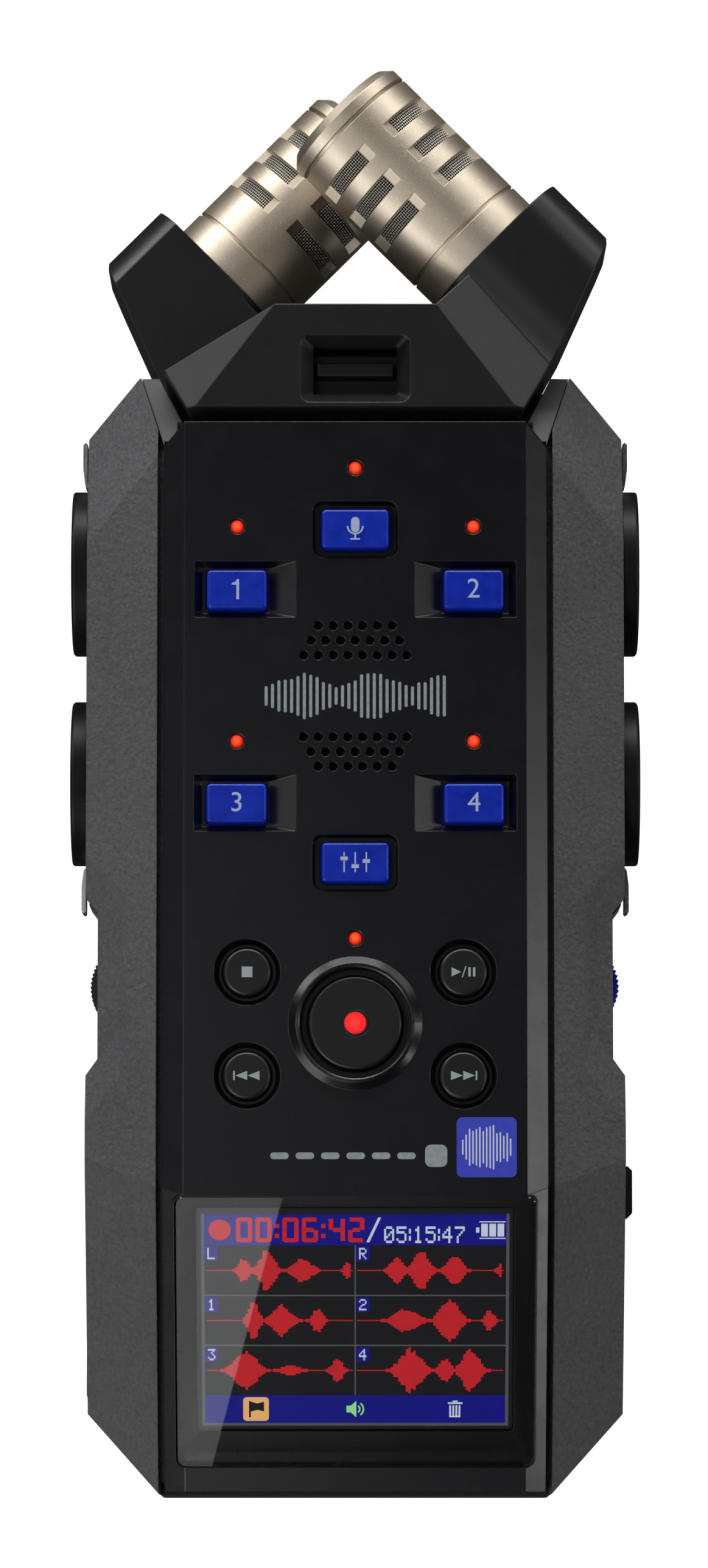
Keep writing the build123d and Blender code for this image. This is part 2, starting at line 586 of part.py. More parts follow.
for input_name, (side, jack_y, lever_way) in INPUTS.items():
    with BuildPart() as jack:
        disc(jack_plane(side, SIDE_X, jack_y), BEZEL_R, JACK_FACE_X - SIDE_X)
        fillet(jack.faces().sort_by(Axis.X)[0 if side < 0 else -1].edges(), 0.55)
        flat_y = sorted((jack_y + lever_way * 10.95, jack_y + lever_way * 20))
        block(tuple(sorted((side * 30, side * 45))), flat_y, (0, 60), Mode.SUBTRACT)
        disc(jack_plane(side, BARREL_END_X, jack_y), BARREL_R, SIDE_X - BARREL_END_X)
        disc(jack_plane(side, TAIL_END_X, jack_y), TAIL_R, BARREL_END_X - TAIL_END_X)
        disc(jack_plane(side, CAVITY_FLOOR_X, jack_y), SOCKET_R, 20, Mode.SUBTRACT)
        circles = jack.edges().filter_by(GeomType.CIRCLE)
        mouth_edges = circles.filter_by(lambda edge: abs(edge.radius - SOCKET_R) < 0.01)
        chamfer(mouth_edges.sort_by(Axis.X)[0 if side < 0 else -1], 0.4)
        disc(jack_plane(side, BORE_END_X, jack_y), PLUG_R, 30, Mode.SUBTRACT)
    save(jack, f"{input_name}_jack")

    with BuildPart() as lever:
        # a bent strip: the leg runs in beside the barrel, the tab lies along the side wall
        leg_y = jack_y + lever_way * LEVER_LEG_Y
        profile = [
            (32.5, 11.6), (36.95, 11.6), (37.35, 12.1), (37.62, 14.2), (37.62, 17.7), (37.3, 18.0),
            (37.0, 17.8), (37.0, 12.3), (32.5, 12.3),
        ]
        outline = [(side * x, jack_y + lever_way * reach) for x, reach in profile]
        prism(Plane.XY.offset(JACK_Z - LEVER_Z / 2), outline, LEVER_Z)
        pin_foot = Plane(origin=(side * LEVER_PIN_X, leg_y, JACK_Z - LEVER_PIN_HALF))
        disc(pin_foot, LEVER_PIN_R, 2 * LEVER_PIN_HALF)
    save(lever, f"{input_name}_release")

with BuildPart() as jack_inserts:
    for side, jack_y, _ in INPUTS.values():
        disc(jack_plane(side, CAVITY_FLOOR_X, jack_y), INSERT_R, INSERT_FACE_X - CAVITY_FLOOR_X)
    for side, jack_y, _ in INPUTS.values():
        disc(jack_plane(side, CAVITY_FLOOR_X - 1, jack_y), PLUG_R, 20, Mode.SUBTRACT)
        for angle in (0, 120, 240):
            pin_y = jack_y + PIN_CIRCLE_R * cos(radians(angle + 90))
            pin_z = JACK_Z + PIN_CIRCLE_R * sin(radians(angle + 90))
            disc(facing_out(side, INSERT_FACE_X - 11, pin_y, pin_z), 1.35, 12, Mode.SUBTRACT)
save(jack_inserts, "jack_contact_inserts")

# ---- dials, enter button and power switch ----
SHAFT_R = 1.5
ENCODER_TOP = {-1: VOLUME_Z[0] - 0.6, 1: SELECT_Z[0] - 0.6}
ENCODER_HALF_X = 3.6        # short enough to stay clear of the pressed enter button
ENCODER_HALF_Y = 4.5
ENCODER_THICK = 2.7


def dial(side, x, radius, height, teeth, depth, name):
    """A thumb wheel with fine teeth, on its own stub shaft."""
    steps = 2 * teeth
    rim = [
        (
            (radius - depth * (step % 2)) * cos(2 * pi * step / steps),
            (radius - depth * (step % 2)) * sin(2 * pi * step / steps),
        )
        for step in range(steps)
    ]
    with BuildPart() as wheel:
        prism(Plane(origin=(side * x, DIAL_Y, height[0])), rim, height[1] - height[0])
        disc(Plane(origin=(side * x, DIAL_Y, height[0] - 3.4)), SHAFT_R, 3.6)
    save(wheel, name)


dial(-1, VOLUME_X, VOLUME_R, VOLUME_Z, 70, 0.28, "volume_dial")
dial(1, SELECT_X, SELECT_R, SELECT_Z, 54, 0.34, "select_dial")

with BuildPart() as dial_encoders:
    for side, x in ((-1, VOLUME_X), (1, SELECT_X)):
        top = ENCODER_TOP[side]
        centre_x = side * (x - 1.2)
        encoder_x = (centre_x - ENCODER_HALF_X, centre_x + ENCODER_HALF_X)
        encoder_y = (DIAL_Y - ENCODER_HALF_Y, DIAL_Y + ENCODER_HALF_Y)
        block(encoder_x, encoder_y, (top - ENCODER_THICK, top))
    for side, x in ((-1, VOLUME_X), (1, SELECT_X)):
        disc(Plane(origin=(side * x, DIAL_Y, 0)), SHAFT_R + 0.06, 40, Mode.SUBTRACT)
save(dial_encoders, "dial_encoders")

with BuildPart() as enter_button:
    rounded(facing_out(1, 33.6, DIAL_Y - 0.15, ENTER_Z), 6.6, 4.1, 1.4, 2.1)
    fillet(enter_button.faces().sort_by(Axis.X)[-1].edges(), 0.4)
    rounded(facing_out(1, 30.2, DIAL_Y - 0.15, ENTER_Z), 3.0, 1.8, 0.5, 3.6)
save(enter_button, "enter_button")

POWER_LENGTH = 7.0
with BuildPart() as power_switch:
    knob_y = (POWER_Y - POWER_LENGTH / 2, POWER_Y + POWER_LENGTH / 2)
    block((SIDE_X + 0.1, 38.0), knob_y, (POWER_Z - 2.4, POWER_Z + 2.4))
    chamfer(power_switch.faces().sort_by(Axis.X)[-1].edges().filter_by(Axis.Z), 0.6)
    with Locations(*[(38.0, POWER_Y + offset, POWER_Z) for offset in (-1.6, -0.8, 0, 0.8, 1.6)]):
        Box(0.5, 0.35, 4.0, mode=Mode.SUBTRACT)
    block((31.0, SIDE_X + 0.2), (POWER_Y - 1.4, POWER_Y + 1.4), (POWER_Z - 1.0, POWER_Z + 1.0))
save(power_switch, "power_switch")

# ---- small jacks, port, card slot, card and door ----
with BuildPart() as mini_jacks:
    for jack_y in MINI_JACK_Y:
        disc(facing_out(-1, 23.0, jack_y, MINI_JACK_Z), 3.0, SIDE_X - 0.1 - 23.0)
    for jack_y in MINI_JACK_Y:
        disc(facing_out(-1, 22.5, jack_y, MINI_JACK_Z), 1.8, 20, Mode.SUBTRACT)
save(mini_jacks, "mini_jacks")

with BuildPart() as usb_port:
    rounded(facing_out(1, 29.3, PORT_Y, PORT_Z), 9.4, 3.7, 1.8, 7.1)
    rounded(facing_out(1, 30.3, PORT_Y, PORT_Z), 8.7, 3.0, 1.45, 8, Mode.SUBTRACT)
    rounded(facing_out(1, 29.8, PORT_Y, PORT_Z), 6.4, 0.8, 0.3, 5.5)
save(usb_port, "usb_port")

with BuildPart() as card_slot:
    block((-35.4, -20.5), (CARD_Y - 7.0, CARD_Y + 7.0), (CARD_Z - 1.3, CARD_Z + 1.3))
    block((-36, -21.5), (CARD_Y - 5.7, CARD_Y + 5.7), (CARD_Z - 0.5, CARD_Z + 0.5), Mode.SUBTRACT)
save(card_slot, "card_slot")

with BuildPart() as memory_card:
    block((-35.5, -21.6), (CARD_Y - 5.5, CARD_Y + 5.5), (CARD_Z - 0.4, CARD_Z + 0.4))
    fillet(memory_card.edges().filter_by(Axis.Z), 0.6)
save(memory_card, "memory_card")

DOOR_FACE_X = 36.95
with BuildPart() as card_door:
    rounded(facing_out(-1, 35.75, (DOOR_Y[0] + DOOR_Y[1]) / 2, (DOOR_Z[0] + DOOR_Z[1]) / 2),
            DOOR_Y[1] - DOOR_Y[0] - 0.4, DOOR_Z[1] - DOOR_Z[0] - 0.4, 0.8, DOOR_FACE_X - 35.75)
    fillet(card_door.faces().sort_by(Axis.X)[0].edges(), 0.15)
save(card_door, "card_door")

# ---- battery: cells, contacts, cover and its pins ----
with BuildPart() as battery_cells:
    for index in range(4):
        cell_x = (index - 1.5) * CELL_PITCH
        way = 1 if index % 2 else -1
        low = Plane(origin=(cell_x, CELL_Y - CELL_LENGTH / 2, CELL_Z), x_dir=(1, 0, 0), z_dir=(0, 1, 0))
        disc(low, CELL_R, CELL_LENGTH)
        nub_y = CELL_Y + way * CELL_LENGTH / 2
        disc(Plane(origin=(cell_x, nub_y, CELL_Z), x_dir=(1, 0, 0), z_dir=(0, way, 0)), 2.7, 1.2)
save(battery_cells, "battery_cells")

CONTACT_GAP = 1.25          # from a cell's end to its flat contact
SPRING_END_GAP = 4.0        # from a cell's end to the plate that carries the coil


def coil(start, direction, radius, wire_r, pitch, height):
    """A round wire wound around a line that starts at a point."""
    with BuildPart(mode=Mode.PRIVATE) as winding:
        with BuildLine() as path:
            Helix(pitch=pitch, height=height, radius=radius, center=start, direction=direction)
        with BuildSketch(path.line ^ 0):
            Circle(wire_r)
        sweep()
    return winding.part


with BuildPart() as battery_contacts:
    for index in range(4):
        cell_x = (index - 1.5) * CELL_PITCH
        way = 1 if index % 2 else -1
        flat_y = CELL_Y + way * (CELL_LENGTH / 2 + CONTACT_GAP)
        plate_y = CELL_Y - way * (CELL_LENGTH / 2 + SPRING_END_GAP)
        block((cell_x - 5, cell_x + 5), sorted((flat_y, flat_y + way * 0.5)), (4.2, 15.0))
        block((cell_x - 5, cell_x + 5), sorted((plate_y, plate_y - way * 0.5)), (4.2, 15.0))
        add(coil((cell_x, plate_y, CELL_Z), (0, way, 0), 3.4, 0.4, 1.3, SPRING_END_GAP - 0.6))
save(battery_contacts, "battery_contacts")

COVER_Z = (0.35, 1.85)
KNUCKLE_X = (22.0, 29.1)
with BuildPart() as battery_cover:
    block((-29.25, 29.25), (BAY_LOW_Y + 0.25, COVER_HINGE_Y), COVER_Z)
    chamfer(battery_cover.faces().sort_by(Axis.Z)[0].edges().group_by(Axis.Y)[0], 0.4)
    for hand in (-1, 1):
        disc(facing_out(hand, KNUCKLE_X[0], COVER_HINGE_Y, COVER_HINGE_Z), 1.6, KNUCKLE_X[1] - KNUCKLE_X[0])
    for hand in (-1, 1):
        disc(facing_out(hand, KNUCKLE_X[0] - 1, COVER_HINGE_Y, COVER_HINGE_Z), 0.83, 12, Mode.SUBTRACT)
    # grip grooves near the free edge
    with Locations(*[(0, BAY_LOW_Y + 4 + 1.6 * row, COVER_Z[0]) for row in range(5)]):
        Box(22, 0.6, 0.5, mode=Mode.SUBTRACT)
save(battery_cover, "battery_cover")

with BuildPart() as cover_hinge_pins:
    for hand in (-1, 1):
        disc(facing_out(hand, KNUCKLE_X[0], COVER_HINGE_Y, COVER_HINGE_Z), 0.76, 8.8)
save(cover_hinge_pins, "cover_hinge_pins")

# ---- tripod bush and screws ----
BUSH_Z = (0.2, 9.0)
BUSH_BORE_R = 2.6
with BuildPart() as tripod_bush:
    disc(Plane(origin=(0, TRIPOD_Y, BUSH_Z[0])), 5.0, BUSH_Z[1] - BUSH_Z[0])
    disc(Plane(origin=(0, TRIPOD_Y, BUSH_Z[0] - 1)), BUSH_BORE_R, 8.0 + 1, Mode.SUBTRACT)
save(tripod_bush, "tripod_bush")

with BuildPart() as case_screws:
    for screw_x, screw_y in SCREWS:
        disc(Plane(origin=(screw_x, screw_y, 2.4)), SCREW_HEAD_R, 1.8)
        disc(Plane(origin=(screw_x, screw_y, 4.2)), 1.19, 16.5)
    with Locations(*[(x, y, 2.4) for x, y in SCREWS]):
        Box(2.6, 0.6, 1.4, mode=Mode.SUBTRACT)
        Box(0.6, 2.6, 1.4, mode=Mode.SUBTRACT)
save(case_screws, "case_screws")

# ---- capsule housing ----
FACET_FALL = 0.4            # fall of the capsule's slanted facets
FOOT_CORNER = (22.3, CAPSULE_FOOT_Y)        # the housing's outline in plan, on its right side
HIP = (26.1, 55.0)
NECK = (11.0, 63.8)
ARM_INNER = (16.8, 69.6)
ARM_OUTER = (28.5, 59.5)
TRAPEZOID = [(21.8, 49.7), (10.95, 63.8)]
MIC_SEAT = 6.2
axis_way = Vector(-1, 1, 0).normalized()
mouth = Vector((AXIS_SUM - sqrt(2) * MOUTH_S) / 2, (AXIS_SUM + sqrt(2) * MOUTH_S) / 2, MIC_Z)
mouth_in = Plane(origin=mouth, x_dir=(1, 1, 0), z_dir=axis_way * -1)
mouth_out = Plane(origin=mouth, x_dir=(-1, -1, 0), z_dir=axis_way)
turn_over = Axis((0, 0, PART_Z), (0, 1, 0))


def capsule_half():
    """The half that carries the upper microphone; turned over, it makes the other half."""
    with BuildPart(mode=Mode.PRIVATE) as half:
        right_edge = [FOOT_CORNER, HIP, NECK]
        left_edge = [(-x, y) for x, y in reversed(right_edge)]
        prism(Plane.XY.offset(PART_Z), right_edge + left_edge, CAPSULE_Z - PART_Z)
        prism(Plane.XY.offset(PART_Z), [HIP, ARM_OUTER, ARM_INNER, NECK], CAPSULE_Z - PART_Z)
        for hand in (-1, 1):
            (low_x, low_y), (high_x, high_y) = TRAPEZOID
            run = Vector(high_y - low_y, low_x - high_x, 0).normalized()
            slope = Plane(origin=(hand * low_x, low_y, CAPSULE_Z),
                          z_dir=(hand * run.X * FACET_FALL, run.Y * FACET_FALL, 1))
            split(bisect_by=slope, keep=Keep.BOTTOM)
        split(bisect_by=Plane(origin=(0, 49.7, CAPSULE_Z), z_dir=(0, -1.4, 1)), keep=Keep.BOTTOM)
        # arm around the microphone
        with BuildSketch(mouth_in) as arm:
            Circle(ARM_R)
            with Locations((ARM_REACH / 2, 0)):
                Rectangle(ARM_REACH, 2 * ARM_R)
            fillet(arm.vertices().group_by(Axis.X)[-1], 6.5)
            with Locations((0, PART_Z - MIC_Z - 10)):
                Rectangle(60, 20, mode=Mode.SUBTRACT)
        extrude(arm.sketch, amount=34, dir=mouth_in.z_dir)
        # outline in plan
        for point, normal in (
            ((FOOT_CORNER[0], CAPSULE_FOOT_Y, 0), (6.8, -3.8, 0)),
            ((34.5, 72.8, 0), (19.07, -8.57, 0)),
            ((34.5, 0, 0), (1, 0, 0)),
            ((0, CAPSULE_FOOT_Y, 0), (0, -1, 0)),
            ((-FOOT_CORNER[0], CAPSULE_FOOT_Y, 0), (-6.8, -3.8, 0)),
        ):
            split(bisect_by=Plane(origin=point, z_dir=normal), keep=Keep.BOTTOM)
        disc(mouth_in.offset(-1), MIC_R + FIT, MIC_SEAT + 1, Mode.SUBTRACT)
        # hollow behind the foot wall
        block((-17, 17), (50.2, 60.5), (PART_Z - 1, 41.0), Mode.SUBTRACT)
    return half.part


half_solid = capsule_half()
WELL_Y = 54.86

with BuildPart() as capsule_front:
    add(half_solid)
    funnel(Plane(origin=(0, WELL_Y, CAPSULE_Z)), (15.0, 9.3, 1.3), (11.4, 6.5, 0.5), 2.2)
    block((-5.7, 5.7), (WELL_Y - 3.25, WELL_Y + 3.25), (39, 45), Mode.SUBTRACT)
    block((-4.5, 4.5), (40, 52), (LATCH_Z - 1.6, LATCH_Z + 1.7), Mode.SUBTRACT)
save(capsule_front, "capsule_front")

with BuildPart() as capsule_rear:
    add(half_solid.rotate(turn_over, 180))
    block((-PLUG_HALF_X, PLUG_HALF_X), (40, 52), PLUG_Z, Mode.SUBTRACT)
save(capsule_rear, "capsule_rear")

LATCH_PIVOT_Y = 51.4
with BuildPart() as capsule_latch:
    block((-7, 7), (50.6, 57.6), (LATCH_Z - 0.7, LATCH_Z + 0.7))
    block((-5.25, 5.25), (54.15, 56.1), (LATCH_Z, 43.4))
    fillet(capsule_latch.faces().sort_by(Axis.Z)[-1].edges(), 0.3)
    block((-4.0, 4.0), (45.6, 51.0), (LATCH_Z - 0.5, LATCH_Z + 0.5))
    disc(facing_out(1, -9, LATCH_PIVOT_Y, LATCH_Z), 0.9, 18)
save(capsule_latch, "capsule_latch")

LATCH_SPRING_Z = (33.0, 38.2)
with BuildPart() as latch_spring:
    spring_length = LATCH_SPRING_Z[1] - LATCH_SPRING_Z[0]
    add(coil((0, WELL_Y, LATCH_SPRING_Z[0]), (0, 0, 1), 1.6, 0.25, 0.85, spring_length))
save(latch_spring, "latch_spring")

with BuildPart() as capsule_plug:
    block((-PLUG_HALF_X + FIT, PLUG_HALF_X - FIT), (41.5, 54.0), (PLUG_Z[0] + FIT, PLUG_Z[1] - FIT))
    chamfer(capsule_plug.faces().sort_by(Axis.Y)[0].edges(), 0.6)
save(capsule_plug, "capsule_plug")

SOCKET_PLAY = 0.3           # room about the plug in its socket
with BuildPart() as dock_socket:
    block((-13.5, 13.5), (38.5, TOP_Y - 0.1 - DOCK_WALL), (SEAM_Z - 5, 18.5))
    mouth_half_x = PLUG_HALF_X + SOCKET_PLAY
    mouth_z = (PLUG_Z[0] - SOCKET_PLAY, PLUG_Z[1] + SOCKET_PLAY)
    block((-mouth_half_x, mouth_half_x), (40.5, 50), mouth_z, Mode.SUBTRACT)
save(dock_socket, "dock_socket")

# ---- microphones ----
ROOT_GROOVE = 4.1           # distances in front of the arm's mouth
SLOTS = [11.35, 16.2, 21.05]
TUBE_END = 25.4
MIC_FRONT = 28.7
RING_WIDTH = 0.6            # of both grooves round the microphone
RING_DEPTH = 0.4
SLOT_WIDTH = 2.3
SLOT_FLAT_R = 7.9           # the slots are milled flat, this far from the axis
SLOT_TURN = 45.0            # first column of slots, from straight up towards the foot
TUBE_R = 8.75


def microphone_tube():
    """The slotted body of the upper microphone."""
    with BuildPart(mode=Mode.PRIVATE) as tube:
        disc(mouth_out.offset(-MIC_SEAT + 0.1), MIC_R, MIC_SEAT - 0.1 + TUBE_END)
        disc(mouth_out.offset(-MIC_SEAT + 1.6), TUBE_R, 60, Mode.SUBTRACT)
        with BuildSketch(mouth_out.offset(ROOT_GROOVE)) as ring:
            Circle(MIC_R + 1)
            Circle(MIC_R - RING_DEPTH, mode=Mode.SUBTRACT)
        extrude(ring.sketch, amount=RING_WIDTH, dir=mouth_out.z_dir, mode=Mode.SUBTRACT)
        for reach in SLOTS:
            for column in range(4):
                lean = radians(SLOT_TURN + 90 * column)
                outward = mouth_out.x_dir * sin(lean) + Vector(0, 0, 1) * cos(lean)
                start = mouth + axis_way * reach + outward * SLOT_FLAT_R
                window = Plane(origin=start, x_dir=axis_way, z_dir=outward)
                with BuildSketch(window) as opening:
                    Rectangle(SLOT_WIDTH, 2 * MIC_R)
                extrude(opening.sketch, amount=3, dir=outward, mode=Mode.SUBTRACT)
    return tube.part


def microphone_cap():
    """The front ring of the upper microphone, pressed into its body."""
    with BuildPart(mode=Mode.PRIVATE) as cap:
        cap_start = TUBE_END + RING_WIDTH
        disc(mouth_out.offset(cap_start), MIC_R, MIC_FRONT - cap_start)
        face = cap.faces().sort_by(Axis(origin=(0, 0, 0), direction=axis_way))[-1]
        chamfer(face.edges(), 1.2)
        disc(mouth_out.offset(TUBE_END - 1.6), TUBE_R - FIT, 1.7 + RING_WIDTH)
        disc(mouth_out.offset(TUBE_END - 3), 6.6, 10, Mode.SUBTRACT)
    return cap.part


def both(solid):
    """A solid of the upper microphone and its twin on the lower one."""
    add(solid)
    add(solid.rotate(turn_over, 180))


tube_solid = microphone_tube()
cap_solid = microphone_cap()

with BuildPart() as right_microphone_body:
    add(tube_solid)
save(right_microphone_body, "right_microphone_body")
with BuildPart() as left_microphone_body:
    add(tube_solid.rotate(turn_over, 180))
save(left_microphone_body, "left_microphone_body")
with BuildPart() as right_microphone_cap:
    add(cap_solid)
save(right_microphone_cap, "right_microphone_cap")
with BuildPart() as left_microphone_cap:
    add(cap_solid.rotate(turn_over, 180))
save(left_microphone_cap, "left_microphone_cap")

with BuildPart(mode=Mode.PRIVATE) as one_screen:
    disc(mouth_out.offset(8.5), TUBE_R - 0.02, 14.0)
    disc(mouth_out.offset(8.0), TUBE_R - 0.4, 15, Mode.SUBTRACT)
    disc(mouth_out.offset(TUBE_END + 1.3), 6.55, 0.5)
with BuildPart() as microphone_screens:
    both(one_screen.part)
save(microphone_screens, "microphone_screens")

with BuildPart(mode=Mode.PRIVATE) as one_element:
    disc(mouth_out.offset(15.5), 6.0, 8.0)
    disc(mouth_out.offset(-MIC_SEAT + 1.6), 2.2, 16 + MIC_SEAT)
with BuildPart() as microphone_elements:
    both(one_element.part)
save(microphone_elements, "microphone_elements")
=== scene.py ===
import json
import random
from math import cos, exp, pi, radians, sin, sqrt

import bmesh
import bpy
from mathutils import Matrix, Vector


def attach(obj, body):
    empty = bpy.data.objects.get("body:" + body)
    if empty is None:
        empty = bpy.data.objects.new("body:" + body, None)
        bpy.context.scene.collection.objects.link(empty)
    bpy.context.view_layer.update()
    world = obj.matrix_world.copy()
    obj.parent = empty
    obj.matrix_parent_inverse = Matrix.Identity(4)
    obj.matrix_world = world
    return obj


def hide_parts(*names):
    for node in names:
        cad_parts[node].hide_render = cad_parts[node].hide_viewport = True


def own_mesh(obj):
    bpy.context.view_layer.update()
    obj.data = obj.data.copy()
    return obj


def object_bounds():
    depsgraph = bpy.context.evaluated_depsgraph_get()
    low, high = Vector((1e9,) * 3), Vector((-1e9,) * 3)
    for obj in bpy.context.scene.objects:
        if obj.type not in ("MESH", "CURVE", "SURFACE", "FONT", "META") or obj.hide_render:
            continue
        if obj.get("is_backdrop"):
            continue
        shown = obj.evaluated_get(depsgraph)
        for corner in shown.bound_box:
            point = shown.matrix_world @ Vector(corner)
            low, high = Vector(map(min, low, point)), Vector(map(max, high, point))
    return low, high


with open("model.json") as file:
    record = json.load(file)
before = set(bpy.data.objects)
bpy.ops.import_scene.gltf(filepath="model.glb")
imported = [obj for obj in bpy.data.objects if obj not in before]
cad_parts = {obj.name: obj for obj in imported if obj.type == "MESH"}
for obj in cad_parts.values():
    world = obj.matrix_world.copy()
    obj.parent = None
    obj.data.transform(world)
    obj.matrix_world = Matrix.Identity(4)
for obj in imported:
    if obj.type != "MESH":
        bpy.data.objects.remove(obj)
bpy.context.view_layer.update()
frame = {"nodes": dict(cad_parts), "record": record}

# Everything is in the CAD's own frame. Shapes are written in millimetres on a local plane.
MM = 0.001
PANEL_Z = 47.0
FOLD_Y = -57.9
SCREEN_TILT = 25.0
MIC_AXIS_SUM = 90.3         # X + Y along the upper microphone's axis
MIC_MOUTH = 38.2            # where its arm ends, along the axis
MIC_Z = 33.6
CAPSULE_SEAM_Z = 23.6       # the lower microphone is the upper one turned over about this height


# ---------------------------------------------------------------- planes

def in_mm(matrix):
    """A local plane whose units are millimetres."""
    return matrix @ Matrix.Scale(MM, 4)


def panel_plane(x=0.0, y=0.0, height=0.0):
    return in_mm(Matrix.Translation(Vector((x, y, PANEL_Z + height)) * MM))


def screen_plane(height=0.0):
    fold = Matrix.Translation(Vector((0, FOLD_Y, PANEL_Z)) * MM)
    tilt = Matrix.Rotation(radians(SCREEN_TILT), 4, "X")
    return in_mm(fold @ tilt @ Matrix.Translation((0, 0, height * MM)))


def microphone_plane(turned):
    """Local Z runs out of the arm along the microphone, local Y points up out of the front."""
    along = MIC_MOUTH * sqrt(2)
    mouth = Vector(((MIC_AXIS_SUM - along) / 2, (MIC_AXIS_SUM + along) / 2, MIC_Z)) * MM
    z_axis = Vector((-1, 1, 0)).normalized()
    y_axis = Vector((0, 0, 1))
    x_axis = y_axis.cross(z_axis)
    turn = Matrix((x_axis, y_axis, z_axis)).transposed().to_4x4()
    upper = Matrix.Translation(mouth) @ turn
    if not turned:
        return in_mm(upper)
    seam = Matrix.Translation((0, 0, CAPSULE_SEAM_Z * MM))
    over = seam @ Matrix.Rotation(pi, 4, "Y") @ seam.inverted()
    return in_mm(over @ upper)


# ---------------------------------------------------------------- materials

# places of a mix node's colour sockets, which share their names with its other kinds
MIX_A = 6
MIX_B = 7
MIX_RESULT = 2


class Surface:
    """A material with one Principled shader and helpers for the patterns that feed it."""

    def __init__(self, name, metallic=0.0, **constants):
        self.material = bpy.data.materials.new(name)
        self.material.use_nodes = True
        self.tree = self.material.node_tree
        self.shader = self.tree.nodes["Principled BSDF"]
        self.shader.inputs["Metallic"].default_value = metallic
        for label, value in constants.items():
            self.shader.inputs[label.replace("_", " ")].default_value = value
        self.place = self.tree.nodes.new("ShaderNodeTexCoord").outputs["Object"]

    def join(self, source, target):
        self.tree.links.new(source, target)

    def node(self, kind, settings=None, **inputs):
        made = self.tree.nodes.new(kind)
        for key, value in (settings or {}).items():
            setattr(made, key, value)
        for label, value in inputs.items():
            socket = made.inputs[label.replace("_", " ")]
            if isinstance(value, bpy.types.NodeSocket):
                self.join(value, socket)
            else:
                socket.default_value = value
        return made

    def noise(self, size_mm, detail=3.0, roughness=0.5, distortion=0.0, stretch=None):
        """Soft noise whose features are about size_mm across."""
        vector = self.place
        if stretch:
            vector = self.node("ShaderNodeMapping", Vector=self.place, Scale=stretch).outputs["Vector"]
        made = self.node("ShaderNodeTexNoise", Vector=vector, Scale=1.0 / (size_mm * MM), Detail=detail,
                         Roughness=roughness, Distortion=distortion)
        return made.outputs["Fac"]

    def cells(self, size_mm, feature="F1", jitter_mm=0.0):
        """Cell noise, its cells about size_mm across and warped by up to jitter_mm."""
        vector = self.place
        if jitter_mm:
            warp = self.node("ShaderNodeTexNoise", Vector=self.place, Scale=0.6 / (size_mm * MM), Detail=2.0)
            offset = self.node("ShaderNodeVectorMath", {"operation": "SCALE"}, Scale=jitter_mm * MM)
            self.join(warp.outputs["Color"], offset.inputs[0])
            moved = self.node("ShaderNodeVectorMath", {"operation": "ADD"})
            self.join(self.place, moved.inputs[0])
            self.join(offset.outputs[0], moved.inputs[1])
            vector = moved.outputs[0]
        made = self.node("ShaderNodeTexVoronoi", {"feature": feature}, Vector=vector,
                         Scale=1.0 / (size_mm * MM))
        return made.outputs["Distance"]

    def spread(self, source, low, high, out_low, out_high):
        """Map a pattern's low..high to out_low..out_high."""
        made = self.node("ShaderNodeMapRange", Value=source)
        ends = {"From Min": low, "From Max": high, "To Min": out_low, "To Max": out_high}
        for label, value in ends.items():
            made.inputs[label].default_value = value
        return made.outputs["Result"]

    def math(self, operation, first, second):
        made = self.node("ShaderNodeMath", {"operation": operation})
        for index, value in enumerate((first, second)):
            if isinstance(value, bpy.types.NodeSocket):
                self.join(value, made.inputs[index])
            else:
                made.inputs[index].default_value = value
        return made.outputs[0]

    def blend(self, factor, first, second):
        """A colour between two, by a pattern."""
        made = self.node("ShaderNodeMix", {"data_type": "RGBA"})
        self.join(factor, made.inputs["Factor"])
        for socket, value in ((made.inputs[MIX_A], first), (made.inputs[MIX_B], second)):
            if isinstance(value, bpy.types.NodeSocket):
                self.join(value, socket)
            else:
                socket.default_value = (*value, 1.0)
        return made.outputs[MIX_RESULT]

    def multiply(self, first, second):
        """One colour darkened by another."""
        made = self.node("ShaderNodeMix", {"data_type": "RGBA", "blend_type": "MULTIPLY"})
        made.inputs["Factor"].default_value = 1.0
        self.join(first, made.inputs[MIX_A])
        self.join(second, made.inputs[MIX_B])
        return made.outputs[MIX_RESULT]

    def colour(self, source):
        self.join(source, self.shader.inputs["Base Color"])

    def roughness(self, source):
        self.join(source, self.shader.inputs["Roughness"])

    def relief(self, layers, edge_mm=0.0):
        """Bumps from (pattern, depth_mm) layers, over edges that are rounded to edge_mm."""
        normal = None
        if edge_mm:
            normal = self.node("ShaderNodeBevel", {"samples": 6}, Radius=edge_mm * MM).outputs["Normal"]
        for pattern, depth_mm in layers:
            made = self.node("ShaderNodeBump", Height=pattern, Distance=depth_mm * MM, Strength=1.0)
            if normal:
                self.join(normal, made.inputs["Normal"])
            normal = made.outputs["Normal"]
        self.join(normal, self.shader.inputs["Normal"])

    def glow(self, source, strength):
        if isinstance(source, bpy.types.NodeSocket):
            self.join(source, self.shader.inputs["Emission Color"])
        else:
            self.shader.inputs["Emission Color"].default_value = (*source, 1.0)
        self.shader.inputs["Emission Strength"].default_value = strength


